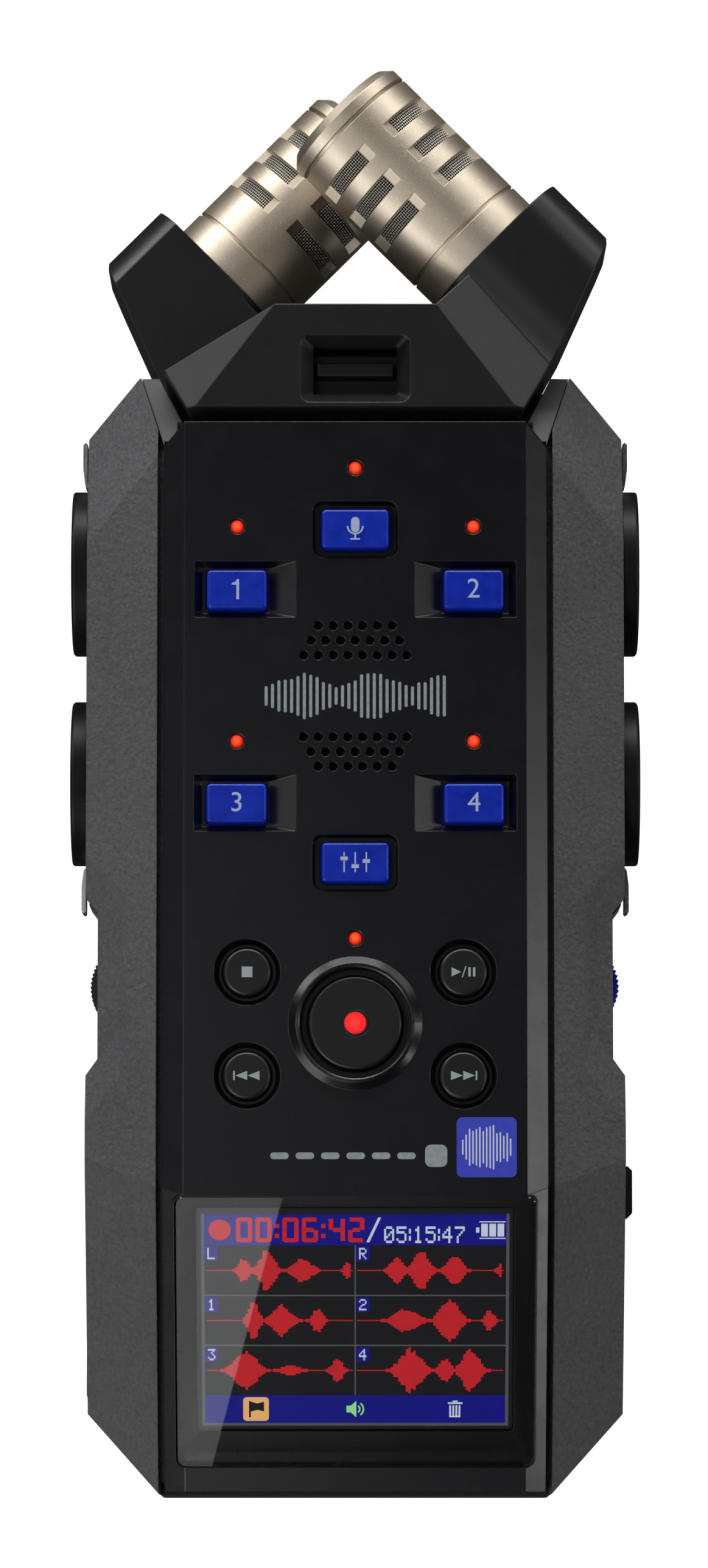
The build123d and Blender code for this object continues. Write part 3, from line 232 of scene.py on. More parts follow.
def moulded(name, dark, light, rough, grain_mm, depth_mm, edge_mm, **constants):
    """Moulded plastic: fine spark texture, faint tone patches and a little uneven sheen."""
    made = Surface(name, **constants)
    patches = made.noise(9.0, detail=4.0, roughness=0.6)
    specks = made.spread(made.noise(0.25, detail=1.0), 0.66, 0.76, 0.0, 1.0)
    tone = made.spread(patches, 0.2, 0.8, 0.0, 0.6)
    made.colour(made.blend(made.math("ADD", tone, made.math("MULTIPLY", specks, 0.5)), dark, light))
    sheen = made.noise(5.0, detail=5.0, roughness=0.65)
    made.roughness(made.spread(sheen, 0.3, 0.7, rough - 0.02, rough + 0.03))
    made.relief([(made.noise(grain_mm, detail=3.0, roughness=0.6), depth_mm)], edge_mm)
    return made.material


def grip_material():
    """Soft-touch grip with a wrinkled leather grain."""
    made = Surface("grip", Specular_IOR_Level=0.34)
    wrinkles = made.cells(0.72, "SMOOTH_F1", jitter_mm=0.55)
    folds = made.noise(0.55, detail=4.0, roughness=0.62, distortion=0.6)
    coarse = made.noise(2.2, detail=2.0)
    fine_tone = made.spread(folds, 0.3, 0.7, 0.0, 0.75)
    broad_tone = made.spread(made.noise(18.0), 0.3, 0.7, 0.0, 0.25)
    tone = made.math("ADD", fine_tone, broad_tone)
    made.colour(made.blend(tone, (0.042, 0.042, 0.045), (0.092, 0.092, 0.096)))
    made.roughness(made.spread(folds, 0.3, 0.7, 0.46, 0.62))
    made.relief([(coarse, 0.06), (wrinkles, 0.16), (folds, 0.22)], 0.35)
    return made.material


def blue_material(name, deep, bright, strength, rough):
    """Clear blue moulding with a faint painted glow in place of light through it, and a softer core."""
    made = Surface(name, Specular_IOR_Level=0.4)
    cloud = made.spread(made.noise(2.6, detail=3.0), 0.3, 0.7, 0.0, 1.0)
    made.colour(made.blend(cloud, deep, bright))
    # painted glow: the keys and dial hold no lamp, and this emission stands in for light in the blue moulding
    made.glow(made.blend(cloud, deep, bright), strength)
    made.roughness(made.spread(made.noise(1.4, detail=4.0), 0.3, 0.7, rough - 0.05, rough + 0.08))
    made.relief([(made.noise(0.2, detail=2.0), 0.004)], 0.12)
    return made.material


def anodised_material():
    """Champagne anodised aluminium, bead blasted, with a fine grain and bright specks."""
    made = Surface("champagne", metallic=1.0)
    blast = made.noise(0.16, detail=3.0, roughness=0.7)
    patches = made.noise(7.0, detail=3.0)
    base = made.blend(made.spread(patches, 0.3, 0.7, 0.0, 1.0), (0.68, 0.58, 0.45), (0.76, 0.66, 0.53))
    specks = made.spread(made.noise(0.34, detail=1.0), 0.66, 0.74, 0.0, 0.8)
    grain = made.blend(made.spread(blast, 0.3, 0.7, 0.0, 1.0), (0.86, 0.86, 0.86), (1.0, 1.0, 1.0))
    speckled = made.blend(specks, base, (0.90, 0.83, 0.72))
    made.colour(made.multiply(speckled, grain))
    made.roughness(made.spread(blast, 0.3, 0.7, 0.37, 0.50))
    made.relief([(blast, 0.014)], 0.12)
    return made.material


def metal_material(name, base, shade, rough, edge_mm=0.1):
    """Plated or drawn metal with fine scuffs."""
    made = Surface(name, metallic=1.0)
    scuffs = made.noise(0.5, detail=5.0, roughness=0.7, stretch=(1.0, 0.15, 1.0))
    made.colour(made.blend(made.spread(made.noise(2.0), 0.3, 0.7, 0.0, 1.0), base, shade))
    made.roughness(made.spread(scuffs, 0.3, 0.7, rough - 0.06, rough + 0.1))
    made.relief([(scuffs, 0.004)], edge_mm)
    return made.material


def lens_material():
    """Polished clear window: see-through, with a mirror that strengthens at a slant and faint smears."""
    made = Surface("lens")
    clear = made.node("ShaderNodeBsdfTransparent", Color=(0.93, 0.94, 0.95, 1.0))
    smears = made.spread(made.noise(9.0, detail=5.0, roughness=0.7), 0.35, 0.75, 0.003, 0.012)
    mirror = made.node("ShaderNodeBsdfGlossy", Roughness=smears, Color=(1.0, 1.0, 1.0, 1.0))
    slant = made.node("ShaderNodeFresnel", IOR=1.49)
    mixed = made.node("ShaderNodeMixShader", Fac=slant.outputs["Fac"])
    made.join(clear.outputs[0], mixed.inputs[1])
    made.join(mirror.outputs[0], mixed.inputs[2])
    made.tree.nodes.remove(made.shader)
    made.join(mixed.outputs[0], made.tree.nodes["Material Output"].inputs["Surface"])
    return made.material


def pixel_material(name, colour, strength):
    """A lit area of the screen, with its fine pixel grid."""
    made = Surface(name, Roughness=0.5)
    grid = made.node("ShaderNodeTexWave", {"wave_type": "BANDS", "bands_direction": "X"}, Vector=made.place,
                     Scale=0.314 / (0.128 * MM)).outputs["Fac"]
    lit = made.spread(grid, 0.0, 1.0, 0.88, 1.0)
    mottle = made.spread(made.noise(6.0), 0.3, 0.7, 0.94, 1.04)
    level = made.math("MULTIPLY", lit, mottle)
    dim = tuple(value * 0.02 for value in colour)
    made.colour(made.blend(level, (0.0, 0.0, 0.0), dim))
    made.glow(made.blend(level, (0.0, 0.0, 0.0), colour), strength)
    return made.material


def lamp_material(name, rim_tone, core_tone):
    """The lit end of a light pipe, one tone in the middle and a deeper one towards the rim."""
    made = Surface(name, Roughness=0.5, Specular_IOR_Level=0.2)
    middle = made.node("ShaderNodeAttribute", {"attribute_name": "core"}).outputs["Fac"]
    grain = made.spread(made.noise(0.4), 0.3, 0.7, 0.9, 1.05)
    core = made.math("MULTIPLY", middle, grain)
    tone = made.blend(core, rim_tone, core_tone)
    made.colour(made.blend(core, (0.4, 0.01, 0.004), (0.5, 0.05, 0.01)))
    made.glow(tone, 1.0)
    return made.material


def print_material(name, colour, wear=0.25):
    """Pad-printed ink, slightly uneven."""
    made = Surface(name)
    patchy = made.spread(made.noise(0.6, detail=4.0, roughness=0.7), 0.35, 0.7, 0.0, 1.0)
    worn = tuple(value * (1.0 - wear) for value in colour)
    made.colour(made.blend(patchy, worn, colour))
    made.roughness(made.spread(patchy, 0.0, 1.0, 0.42, 0.58))
    made.relief([(patchy, 0.003)])
    return made.material


def sleeve_material():
    """Battery sleeve: dark film with a lighter band at each cell's end."""
    made = Surface("sleeve", metallic=0.3)
    bands = made.node("ShaderNodeSeparateXYZ", Vector=made.place).outputs["Y"]
    near_end = made.spread(bands, 0.016, 0.0165, 0.0, 1.0)
    cloud = made.spread(made.noise(3.0), 0.3, 0.7, 0.0, 1.0)
    film = made.blend(cloud, (0.02, 0.022, 0.026), (0.032, 0.034, 0.04))
    made.colour(made.blend(near_end, film, (0.45, 0.20, 0.05)))
    made.roughness(made.spread(made.noise(1.0), 0.3, 0.7, 0.22, 0.36))
    return made.material


def board_material():
    """Solder mask with copper traces showing through."""
    made = Surface("board")
    traces = made.spread(made.cells(1.6, "DISTANCE_TO_EDGE"), 0.04, 0.07, 1.0, 0.0)
    made.colour(made.blend(traces, (0.006, 0.05, 0.02), (0.02, 0.13, 0.05)))
    made.roughness(made.spread(made.noise(1.2), 0.3, 0.7, 0.28, 0.45))
    made.relief([(traces, 0.02)], 0.1)
    return made.material


materials = {
    "panel": moulded("panel", (0.0038, 0.0040, 0.0056), (0.0055, 0.0057, 0.0078), 0.26, 0.16,
                      0.004, 0.22),
    "shell": grip_material(),
    "case": moulded("case", (0.014, 0.014, 0.015), (0.020, 0.020, 0.021), 0.50, 0.22, 0.022, 0.3),
    "capsule": moulded("capsule", (0.0075, 0.0075, 0.008), (0.0105, 0.0105, 0.0112), 0.34, 0.20, 0.013, 0.35),
    "jack": moulded("jack", (0.0035, 0.0035, 0.0038), (0.0052, 0.0052, 0.0056), 0.42, 0.18, 0.010, 0.2,
                     Specular_IOR_Level=0.2),
    "inner": moulded("inner", (0.005, 0.005, 0.005), (0.008, 0.008, 0.008), 0.55, 0.25, 0.012, 0.1),
    "door": moulded("door", (0.016, 0.016, 0.017), (0.022, 0.022, 0.023), 0.62, 0.30, 0.02, 0.2),
    "dark_key": moulded("dark_key", (0.0048, 0.0052, 0.0060), (0.0072, 0.0077, 0.0086), 0.36, 0.16,
                         0.006, 0.12),
    "rubber": moulded("rubber", (0.03, 0.03, 0.03), (0.045, 0.045, 0.045), 0.7, 0.4, 0.02, 0.1),
    "card": moulded("card", (0.01, 0.01, 0.012), (0.018, 0.018, 0.02), 0.35, 0.3, 0.004, 0.1),
    "screw": metal_material("screw", (0.05, 0.05, 0.05), (0.09, 0.09, 0.09), 0.35),
    # the strength given to the blue keys and dial is a painted glow, not a lamp
    "blue_key": blue_material("blue_key", (0.001, 0.012, 0.26), (0.002, 0.021, 0.36), 0.16, 0.30),
    "blue_dial": blue_material("blue_dial", (0.006, 0.014, 0.20), (0.01, 0.025, 0.32), 0.10, 0.3),
    "champagne": anodised_material(),
    # painted shade: the mesh behind the woven wires is made nearly black, so the gaps between the wires read
    # as shadow
    "mesh": metal_material("mesh", (0.012, 0.011, 0.010), (0.022, 0.020, 0.018), 0.6, 0.0),
    "element": metal_material("element", (0.30, 0.24, 0.14), (0.38, 0.31, 0.2), 0.4),
    "steel": metal_material("steel", (0.50, 0.50, 0.50), (0.62, 0.62, 0.62), 0.3),
    "nickel": metal_material("nickel", (0.62, 0.60, 0.55), (0.72, 0.70, 0.65), 0.24),
    "brass": metal_material("brass", (0.60, 0.46, 0.22), (0.70, 0.56, 0.3), 0.3),
    "lens": lens_material(),
    "display": pixel_material("display", (0.004, 0.004, 0.006), 1.0),
    "board": board_material(),
    "light": pixel_material("light", (0.55, 0.02, 0.005), 0.6),
    "cell": sleeve_material(),
}

for subpart in frame["record"]["subparts"]:
    cad_object = frame["nodes"][subpart["node"]]
    cad_object.data.materials.clear()
    cad_object.data.materials.append(materials[subpart["material_slot"]])


# ---------------------------------------------------------------- piece builders

def finish_piece(name, mesh, material, body, smooth=False):
    """Put a finished mesh into the scene as a piece of one body."""
    mesh.materials.clear()
    mesh.materials.append(material)
    for polygon in mesh.polygons:
        polygon.use_smooth = smooth
    piece = bpy.data.objects.new(name, mesh)
    bpy.context.scene.collection.objects.link(piece)
    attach(piece, body)
    return piece


def thin_plates(name, outlines, plane, thickness, material, body):
    """Closed flat outlines, each a list of (x, y), raised by a thickness above a local plane."""
    build = bmesh.new()
    for outline in outlines:
        low = [build.verts.new((x, y, 0.0)) for x, y in outline]
        high = [build.verts.new((x, y, thickness)) for x, y in outline]
        build.faces.new(list(reversed(low)))
        build.faces.new(high)
        for index in range(len(outline)):
            after = (index + 1) % len(outline)
            build.faces.new((low[index], low[after], high[after], high[index]))
    bmesh.ops.recalc_face_normals(build, faces=build.faces)
    build.transform(plane)
    mesh = bpy.data.meshes.new(name)
    build.to_mesh(mesh)
    build.free()
    return finish_piece(name, mesh, material, body)


def rectangle(left, top, right, bottom):
    """An upright rectangle between its edges."""
    return [(left, bottom), (right, bottom), (right, top), (left, top)]


def soft_rectangle(x, y, width, height, corner, steps=6):
    """A rectangle about (x, y) with rounded corners."""
    points = []
    for turn, (way_x, way_y) in enumerate(((1, 1), (-1, 1), (-1, -1), (1, -1))):
        centre_x = x + way_x * (width / 2 - corner)
        centre_y = y + way_y * (height / 2 - corner)
        for step in range(steps + 1):
            angle = pi / 2 * (turn + step / steps)
            points.append((centre_x + corner * cos(angle), centre_y + corner * sin(angle)))
    return points


def disc_outline(x, y, radius, steps=32):
    """A circle about (x, y)."""
    angles = [2 * pi * step / steps for step in range(steps)]
    return [(x + radius * cos(angle), y + radius * sin(angle)) for angle in angles]


def band_outline(x, y, inner, outer, start, end, steps=12):
    """Part of a ring, from a start to an end angle in degrees."""
    angles = [radians(start + (end - start) * step / steps) for step in range(steps + 1)]
    points = [(x + outer * cos(angle), y + outer * sin(angle)) for angle in angles]
    return points + [(x + inner * cos(angle), y + inner * sin(angle)) for angle in reversed(angles)]


def lathe(name, profile, plane, material, body, steps=48, smooth=True):
    """A closed profile of (radius, height) turned about the local Z axis."""
    build = bmesh.new()
    rings = []
    for step in range(steps):
        angle = 2 * pi * step / steps
        rings.append([build.verts.new((r * cos(angle), r * sin(angle), h)) for r, h in profile])
    for step in range(steps):
        ring, after = rings[step], rings[(step + 1) % steps]
        for index in range(len(profile)):
            nxt = (index + 1) % len(profile)
            build.faces.new((ring[index], after[index], after[nxt], ring[nxt]))
    bmesh.ops.remove_doubles(build, verts=build.verts, dist=1e-4)
    bmesh.ops.recalc_face_normals(build, faces=build.faces)
    build.transform(plane)
    mesh = bpy.data.meshes.new(name)
    build.to_mesh(mesh)
    build.free()
    return finish_piece(name, mesh, material, body, smooth)


WALL_DEPTH = 0.05           # of a dome's short wall, below its rim
CORE_FADE = 1.15            # above 1, so a dome's core tone ends before its rim


def dome(name, plane, radius, rise, material, body, rings=8, steps=32):
    """A shallow cap on a short wall, with an attribute that is 1 in its middle and 0 at its rim."""
    build = bmesh.new()
    levels = []
    for ring in range(rings):
        reach = 1.0 - ring / rings
        height = rise * (1.0 - reach * reach)
        outline = disc_outline(0, 0, radius * reach, steps)
        levels.append([build.verts.new((x, y, height)) for x, y in outline])
    tip = build.verts.new((0, 0, rise))
    foot = [build.verts.new((x, y, -WALL_DEPTH)) for x, y in disc_outline(0, 0, radius, steps)]
    stack = [foot] + levels
    for lower, upper in zip(stack, stack[1:]):
        for s in range(steps):
            after = (s + 1) % steps
            build.faces.new((lower[s], lower[after], upper[after], upper[s]))
    for s in range(steps):
        build.faces.new((levels[-1][s], levels[-1][(s + 1) % steps], tip))
    build.faces.new(list(reversed(foot)))
    mesh = bpy.data.meshes.new(name)
    build.to_mesh(mesh)
    build.free()
    core = mesh.attributes.new("core", "FLOAT", "POINT")
    for vertex in mesh.vertices:
        reach = sqrt(vertex.co.x ** 2 + vertex.co.y ** 2) / radius
        core.data[vertex.index].value = max(0.0, 1.0 - reach * CORE_FADE)
    mesh.transform(plane)
    return finish_piece(name, mesh, material, body, True)


FIGURE_SHARE = 0.73         # of the face's size that a figure's height takes
PRINT_THICK = 0.012


def digit_piece(name, character, plane, height, material, body, thickness=PRINT_THICK):
    """A printed figure from the program's own plain face."""
    letters = bpy.data.curves.new(name, "FONT")
    letters.body = character
    letters.size = height / FIGURE_SHARE
    letters.extrude = thickness
    letters.align_x = "CENTER"
    letters.align_y = "CENTER"
    letters.resolution_u = 8
    holder = bpy.data.objects.new(name, letters)
    bpy.context.scene.collection.objects.link(holder)
    bpy.context.view_layer.update()
    mesh = bpy.data.meshes.new_from_object(holder.evaluated_get(bpy.context.evaluated_depsgraph_get()))
    bpy.data.objects.remove(holder)
    bpy.data.curves.remove(letters)
    middle_x = (min(v.co.x for v in mesh.vertices) + max(v.co.x for v in mesh.vertices)) / 2
    middle_y = (min(v.co.y for v in mesh.vertices) + max(v.co.y for v in mesh.vertices)) / 2
    mesh.transform(plane @ Matrix.Translation((-middle_x, -middle_y, 0)))
    mesh.name = name
    return finish_piece(name, mesh, material, body)


# ---------------------------------------------------------------- prints on keys and panel

ink = print_material("ink", (0.30, 0.34, 0.35))
key_ink = print_material("key_ink", (0.40, 0.46, 0.66), 0.1)
button_ink = print_material("button_ink", (0.34, 0.39, 0.41), 0.15)
KEY_TOP = 47.8 - PANEL_Z
BUTTON_TOP = 47.45 - PANEL_Z
LIFT = 0.006                # of a print above what it lies on
FIGURE_HEIGHT = 2.75
FIGURE_RAISE = 0.15         # of a figure above its key's middle

ONE_KEY = (-16.06, 24.25)
figure_one = [
    (-0.72, 0.62), (-0.66, 0.86), (-0.2, 1.0), (0.02, 1.38),
    (0.3, 1.38), (0.3, -1.38), (-0.06, -1.38), (-0.06, 0.62),
]
thin_plates("figure_1", [figure_one], panel_plane(*ONE_KEY, KEY_TOP + LIFT), PRINT_THICK, key_ink,
            "key_track_1_cap")
for number, (x, y) in {"2": (16.06, 24.25), "3": (-16.06, -4.9), "4": (16.06, -4.9)}.items():
    digit_piece(f"figure_{number}", number, panel_plane(x, y + FIGURE_RAISE, KEY_TOP + LIFT), FIGURE_HEIGHT,
                key_ink, f"key_track_{number}_cap")

# microphone symbol on one key and three faders on the other
MIC_KEY = (0.0, 32.55)
MIXER_KEY = (0.0, -12.95)
microphone_symbol = [
    soft_rectangle(0, 0.55, 1.15, 2.1, 0.57),
    band_outline(0, 0.35, 0.92, 1.16, 180, 360),
    rectangle(-0.12, -0.8, 0.12, -1.3),
    rectangle(-0.65, -1.3, 0.65, -1.52),
]
thin_plates("microphone_symbol", microphone_symbol, panel_plane(*MIC_KEY, KEY_TOP + LIFT), PRINT_THICK,
            key_ink, "key_microphone_cap")
fader_symbol = []
for offset, knob in ((-1.5, 0.5), (0.0, -0.55), (1.5, 0.15)):
    fader_symbol.append(rectangle(offset - 0.1, 1.35, offset + 0.1, knob + 0.32))
    fader_symbol.append(rectangle(offset - 0.1, knob - 0.32, offset + 0.1, -1.35))
    fader_symbol.append(rectangle(offset - 0.5, knob + 0.26, offset + 0.5, knob - 0.26))
thin_plates("fader_symbol", fader_symbol, panel_plane(*MIXER_KEY, KEY_TOP + LIFT), PRINT_THICK, key_ink,
            "key_mixer_cap")

# transport symbols
TRI = 0.62                  # half height of the small triangles
symbols = {
    "stop": ((-14.6, -27.8), [rectangle(-0.72, 0.72, 0.72, -0.72)]),
    "play": ((14.6, -27.8), [
        [(-1.6, -TRI), (-0.3, 0.0), (-1.6, TRI)],
        [(-0.25, -0.75), (-0.08, -0.75), (0.42, 0.75), (0.25, 0.75)],
        rectangle(0.65, TRI, 0.98, -TRI), rectangle(1.28, TRI, 1.61, -TRI),
    ]),
    "rewind": ((-14.6, -41.8), [
        rectangle(-1.85, TRI, -1.62, -TRI),
        [(-1.55, 0.0), (0.05, -TRI), (0.05, TRI)], [(0.1, 0.0), (1.7, -TRI), (1.7, TRI)],
    ]),
    "forward": ((14.6, -41.8), [
        [(-1.7, -TRI), (-0.1, 0.0), (-1.7, TRI)], [(-0.05, -TRI), (1.55, 0.0), (-0.05, TRI)],
        rectangle(1.62, TRI, 1.85, -TRI),
    ]),
}
for key, (at, outlines) in symbols.items():
    thin_plates(f"symbol_{key}", outlines, panel_plane(*at, BUTTON_TOP + LIFT), PRINT_THICK, button_ink,
                f"key_{key}_cap")

# record dot: a lit red cap in the key's recess
dome("record_dot", panel_plane(0.0, -34.7, 0.44), 1.74, 0.22,
     lamp_material("record_lamp", (0.62, 0.004, 0.012), (0.95, 0.012, 0.035)), "key_record_cap")


def level_bars(x, y, width, height, count, seed, bar):
    """Upright bars whose heights swell and fade, as a plain decoration."""
    rng = random.Random(seed)
    outlines = []
    for index in range(count):
        place = (index + 0.5) / count
        swell = 0.35 + 0.65 * abs(sin(pi * place * 2.5)) * rng.uniform(0.55, 1.0)
        bar_x = x - width / 2 + width * place
        half = height / 2 * swell
        outlines.append(soft_rectangle(bar_x, y, bar, max(bar, 2 * half), bar * 0.45, 3))
    return outlines


thin_plates("panel_motif", level_bars(0.0, 9.75, 25.0, 6.6, 29, 4, 0.42), panel_plane(height=LIFT), 0.01, ink,
            "body")
foot_motif = [soft_rectangle(-10.2 + 3.42 * step, -52.6, 2.5, 0.9, 0.44) for step in range(6)]
foot_motif.append(soft_rectangle(10.9, -52.6, 3.0, 3.0, 0.8))
thin_plates("foot_motif", foot_motif, panel_plane(height=LIFT), 0.01, ink, "body")

# the blue sticker with a plain wave of bars
BADGE = (17.7, -51.45)
thin_plates("badge", [soft_rectangle(*BADGE, 8.1, 8.1, 0.8)], panel_plane(height=LIFT), 0.06,
            print_material("badge_blue", (0.035, 0.055, 0.50), 0.08), "body")
badge_bars = []
badge_rng = random.Random(11)
for index in range(15):
    bar_x = (index - 7) * 0.46
    half = sqrt(max(0.2, 3.5 ** 2 - bar_x ** 2)) * badge_rng.uniform(0.55, 0.98)
    badge_bars.append(soft_rectangle(BADGE[0] + bar_x, BADGE[1], 0.2, 2 * half, 0.09, 2))
thin_plates("badge_wave", badge_bars, panel_plane(height=LIFT + 0.06), 0.012,
            print_material("badge_white", (0.62, 0.64, 0.80), 0.05), "body")

# ---------------------------------------------------------------- indicator lights

lamp = lamp_material("lamp", (0.50, 0.006, 0.002), (1.0, 0.13, 0.02))
LIGHTS = [(0, 41.0), (-16.05, 32.95), (16.05, 32.95), (-16.05, 3.6), (16.05, 3.6), (0, -23.2)]
for index, (x, y) in enumerate(LIGHTS):
    dome(f"indicator_{index + 1}", panel_plane(x, y, -0.14), 0.80, 0.3, lamp, "body")

# ---------------------------------------------------------------- the screen's picture

PICTURE_W = 40.8
PICTURE_H = 30.6
PICTURE_TOP = -3.3
LAYER = 0.03                # from one level of the picture to the next
LAYER_THICK = 0.02
PICTURE_FLOOR = -1.28

GLYPHS = {
    "0": "01110 10001 10011 10101 11001 10001 01110",
    "1": "00100 01100 00100 00100 00100 00100 01110",
    "2": "01110 10001 00001 00110 01000 10000 11111",
    "3": "11111 00010 00100 00010 00001 10001 01110",
    "4": "00010 00110 01010 10010 11111 00010 00010",
    "5": "11111 10000 11110 00001 00001 10001 01110",
    "6": "00110 01000 10000 11110 10001 10001 01110",
    "7": "11111 00001 00010 00100 01000 01000 01000",
    "L": "10000 10000 10000 10000 10000 10000 11111",
    "R": "11110 10001 10001 11110 10100 10010 10001",
    ":": "0 1 1 0 1 1 0",
}


def glyph_boxes(text, left, top, pixel_w, pixel_h, gap):
    """Rectangles for a line of dotted characters, each run of dots in a row as one."""
    boxes = []
    for character in text:
        rows = GLYPHS[character].split()
        for row, dots in enumerate(rows):
            column = 0
            while column < len(dots):
                run = column
                while run < len(dots) and dots[run] == "1":
                    run += 1
                if run > column:
                    boxes.append(rectangle(left + column * pixel_w, top - row * pixel_h,
                                           left + run * pixel_w, top - (row + 1) * pixel_h))
                column = run + 1
        left += len(rows[0]) * pixel_w + gap
    return boxes


def timer_boxes(text, left, top, width, height, stroke, gap):
    """Rectangles for a bold timer made of seven strokes a figure."""
    lit = {
        "0": "abcdef", "1": "bc", "2": "abged", "3": "abgcd",
        "4": "fgbc", "5": "afgcd", "6": "afgedc", "7": "abc",
    }
    middle = top - height / 2
    bottom = top - height
    boxes = []
    for character in text:
        if character == ":":
            for y in (middle + height * 0.24, middle - height * 0.16):
                boxes.append(rectangle(left, y, left + stroke, y - stroke))
            left += stroke + gap
            continue
        right = left + width
        strokes = {
            "a": rectangle(left + 0.2, top, right - 0.2, top - stroke),
            "g": rectangle(left + stroke, middle + stroke / 2, right - stroke, middle - stroke / 2),
            "d": rectangle(left + 0.2, bottom + stroke, right - 0.2, bottom),
            "f": rectangle(left, top - 0.2, left + stroke, middle + 0.02),
            "b": rectangle(right - stroke, top - 0.2, right, middle + 0.02),
            "e": rectangle(left, middle - 0.02, left + stroke, bottom + 0.2),
            "c": rectangle(right - stroke, middle - 0.02, right, bottom + 0.2),
        }
        boxes += [strokes[key] for key in lit[character]]
        left = right + gap
    return boxes


def screen_layer(name, outlines, level, material):
    """Lit areas of the picture, each level a little above the one before."""
    plane = screen_plane(PICTURE_FLOOR + level * LAYER)
    thin_plates(name, outlines, plane, LAYER_THICK, material, "body")


HALF_W = PICTURE_W / 2
BAR_BOTTOM = PICTURE_TOP - 4.5
FOOT_TOP = PICTURE_TOP - 26.5
PICTURE_BOTTOM = PICTURE_TOP - PICTURE_H
ROW = (BAR_BOTTOM - FOOT_TOP) / 3

navy = pixel_material("pixel_navy", (0.0, 0.0, 0.22), 1.0)
red = pixel_material("pixel_red", (0.56, 0.012, 0.018), 1.0)
white = pixel_material("pixel_white", (0.62, 0.66, 0.80), 1.0)
grey = pixel_material("pixel_grey", (0.085, 0.085, 0.085), 1.0)
orange = pixel_material("pixel_orange", (0.85, 0.46, 0.16), 1.0)
green = pixel_material("pixel_green", (0.32, 0.80, 0.30), 1.0)
black = pixel_material("pixel_black", (0.003, 0.003, 0.004), 1.0)

screen_layer("picture_black", [rectangle(-HALF_W, PICTURE_TOP, HALF_W, PICTURE_BOTTOM)], -1, black)
screen_layer("picture_bars", [
    rectangle(-HALF_W, PICTURE_TOP, HALF_W, BAR_BOTTOM),
    rectangle(-HALF_W, FOOT_TOP, HALF_W, PICTURE_BOTTOM)], 0, navy)
GRID_HALF = 0.1             # half the width of a grid line
grid_lines = [rectangle(-GRID_HALF, BAR_BOTTOM, GRID_HALF, FOOT_TOP)]
for row in (1, 2):
    line_y = BAR_BOTTOM - ROW * row
    line_top = line_y + GRID_HALF
    line_bottom = line_y - GRID_HALF
    grid_lines.append(rectangle(-HALF_W, line_top, -GRID_HALF, line_bottom))
    grid_lines.append(rectangle(GRID_HALF, line_top, HALF_W, line_bottom))
screen_layer("picture_grid", grid_lines, 0, grey)
RIM = 0.42
screen_layer("picture_rim", [
    rectangle(-HALF_W - RIM, PICTURE_TOP + 0.1, -HALF_W, PICTURE_BOTTOM - RIM),
    rectangle(HALF_W, PICTURE_TOP + 0.1, HALF_W + RIM, PICTURE_BOTTOM - RIM),
    rectangle(-HALF_W, PICTURE_BOTTOM, HALF_W, PICTURE_BOTTOM - RIM)], 0,
    pixel_material("pixel_rim", (0.075, 0.085, 0.09), 1.0))

screen_layer("timer_dot", [disc_outline(-18.3, PICTURE_TOP - 2.25, 1.5)], 1, red)
screen_layer("timer_run", timer_boxes("00:06:42", -16.1, PICTURE_TOP - 0.45, 2.2, 3.6, 0.6, 0.42), 1, red)
screen_layer("timer_left", glyph_boxes("05:15:47", 3.9, PICTURE_TOP - 1.75, 0.27, 0.345, 0.32), 1, white)
SLASH_FOOT = PICTURE_TOP - 4.05
SLASH_HEAD = PICTURE_TOP - 0.45
slash = [(1.5, SLASH_FOOT), (1.9, SLASH_FOOT), (3.5, SLASH_HEAD), (3.1, SLASH_HEAD)]
battery_symbol = [rectangle(16.3, PICTURE_TOP - 1.9, 16.75, PICTURE_TOP - 2.65)]
battery_symbol += [rectangle(17.0 + 1.1 * step, PICTURE_TOP - 1.35, 17.9 + 1.1 * step, PICTURE_TOP - 3.2)
                   for step in range(3)]
for edge_drop in (1.0, 3.4):
    battery_symbol.append(rectangle(16.75, PICTURE_TOP - edge_drop, 20.3, PICTURE_TOP - edge_drop - 0.15))
screen_layer("timer_marks", [slash] + battery_symbol, 1, white)

# (middle, spread, height) of each swell, in millimetres from the cell's left edge
WAVES = {
    "left": [(4.9, 0.95, 1.8), (8.1, 1.25, 3.2), (12.8, 1.6, 1.8), (19.1, 0.8, 1.3)],
    "right": [(5.2, 1.1, 1.9), (8.5, 1.3, 3.2), (13.1, 1.3, 2.2), (19.5, 0.7, 1.3)],
    "1": [(6.2, 0.9, 3.2), (10.0, 1.7, 2.2), (14.9, 0.9, 1.8)],
    "2": [(6.5, 2.1, 1.7), (12.4, 1.6, 3.2), (17.8, 0.8, 1.5)],
    "3": [(5.1, 1.9, 2.9), (11.2, 1.7, 0.8), (17.6, 0.9, 1.8)],
    "4": [(7.1, 1.9, 3.1), (11.8, 1.0, 1.8), (15.3, 1.5, 3.1)],
}
COLUMN = 0.34
LEVEL_STEP = 0.24
AXIS_INSET = 0.3            # of a wave's axis from its cell's edges
AXIS_HALF = 0.07
wave_rng = random.Random(7)
wave_boxes = []
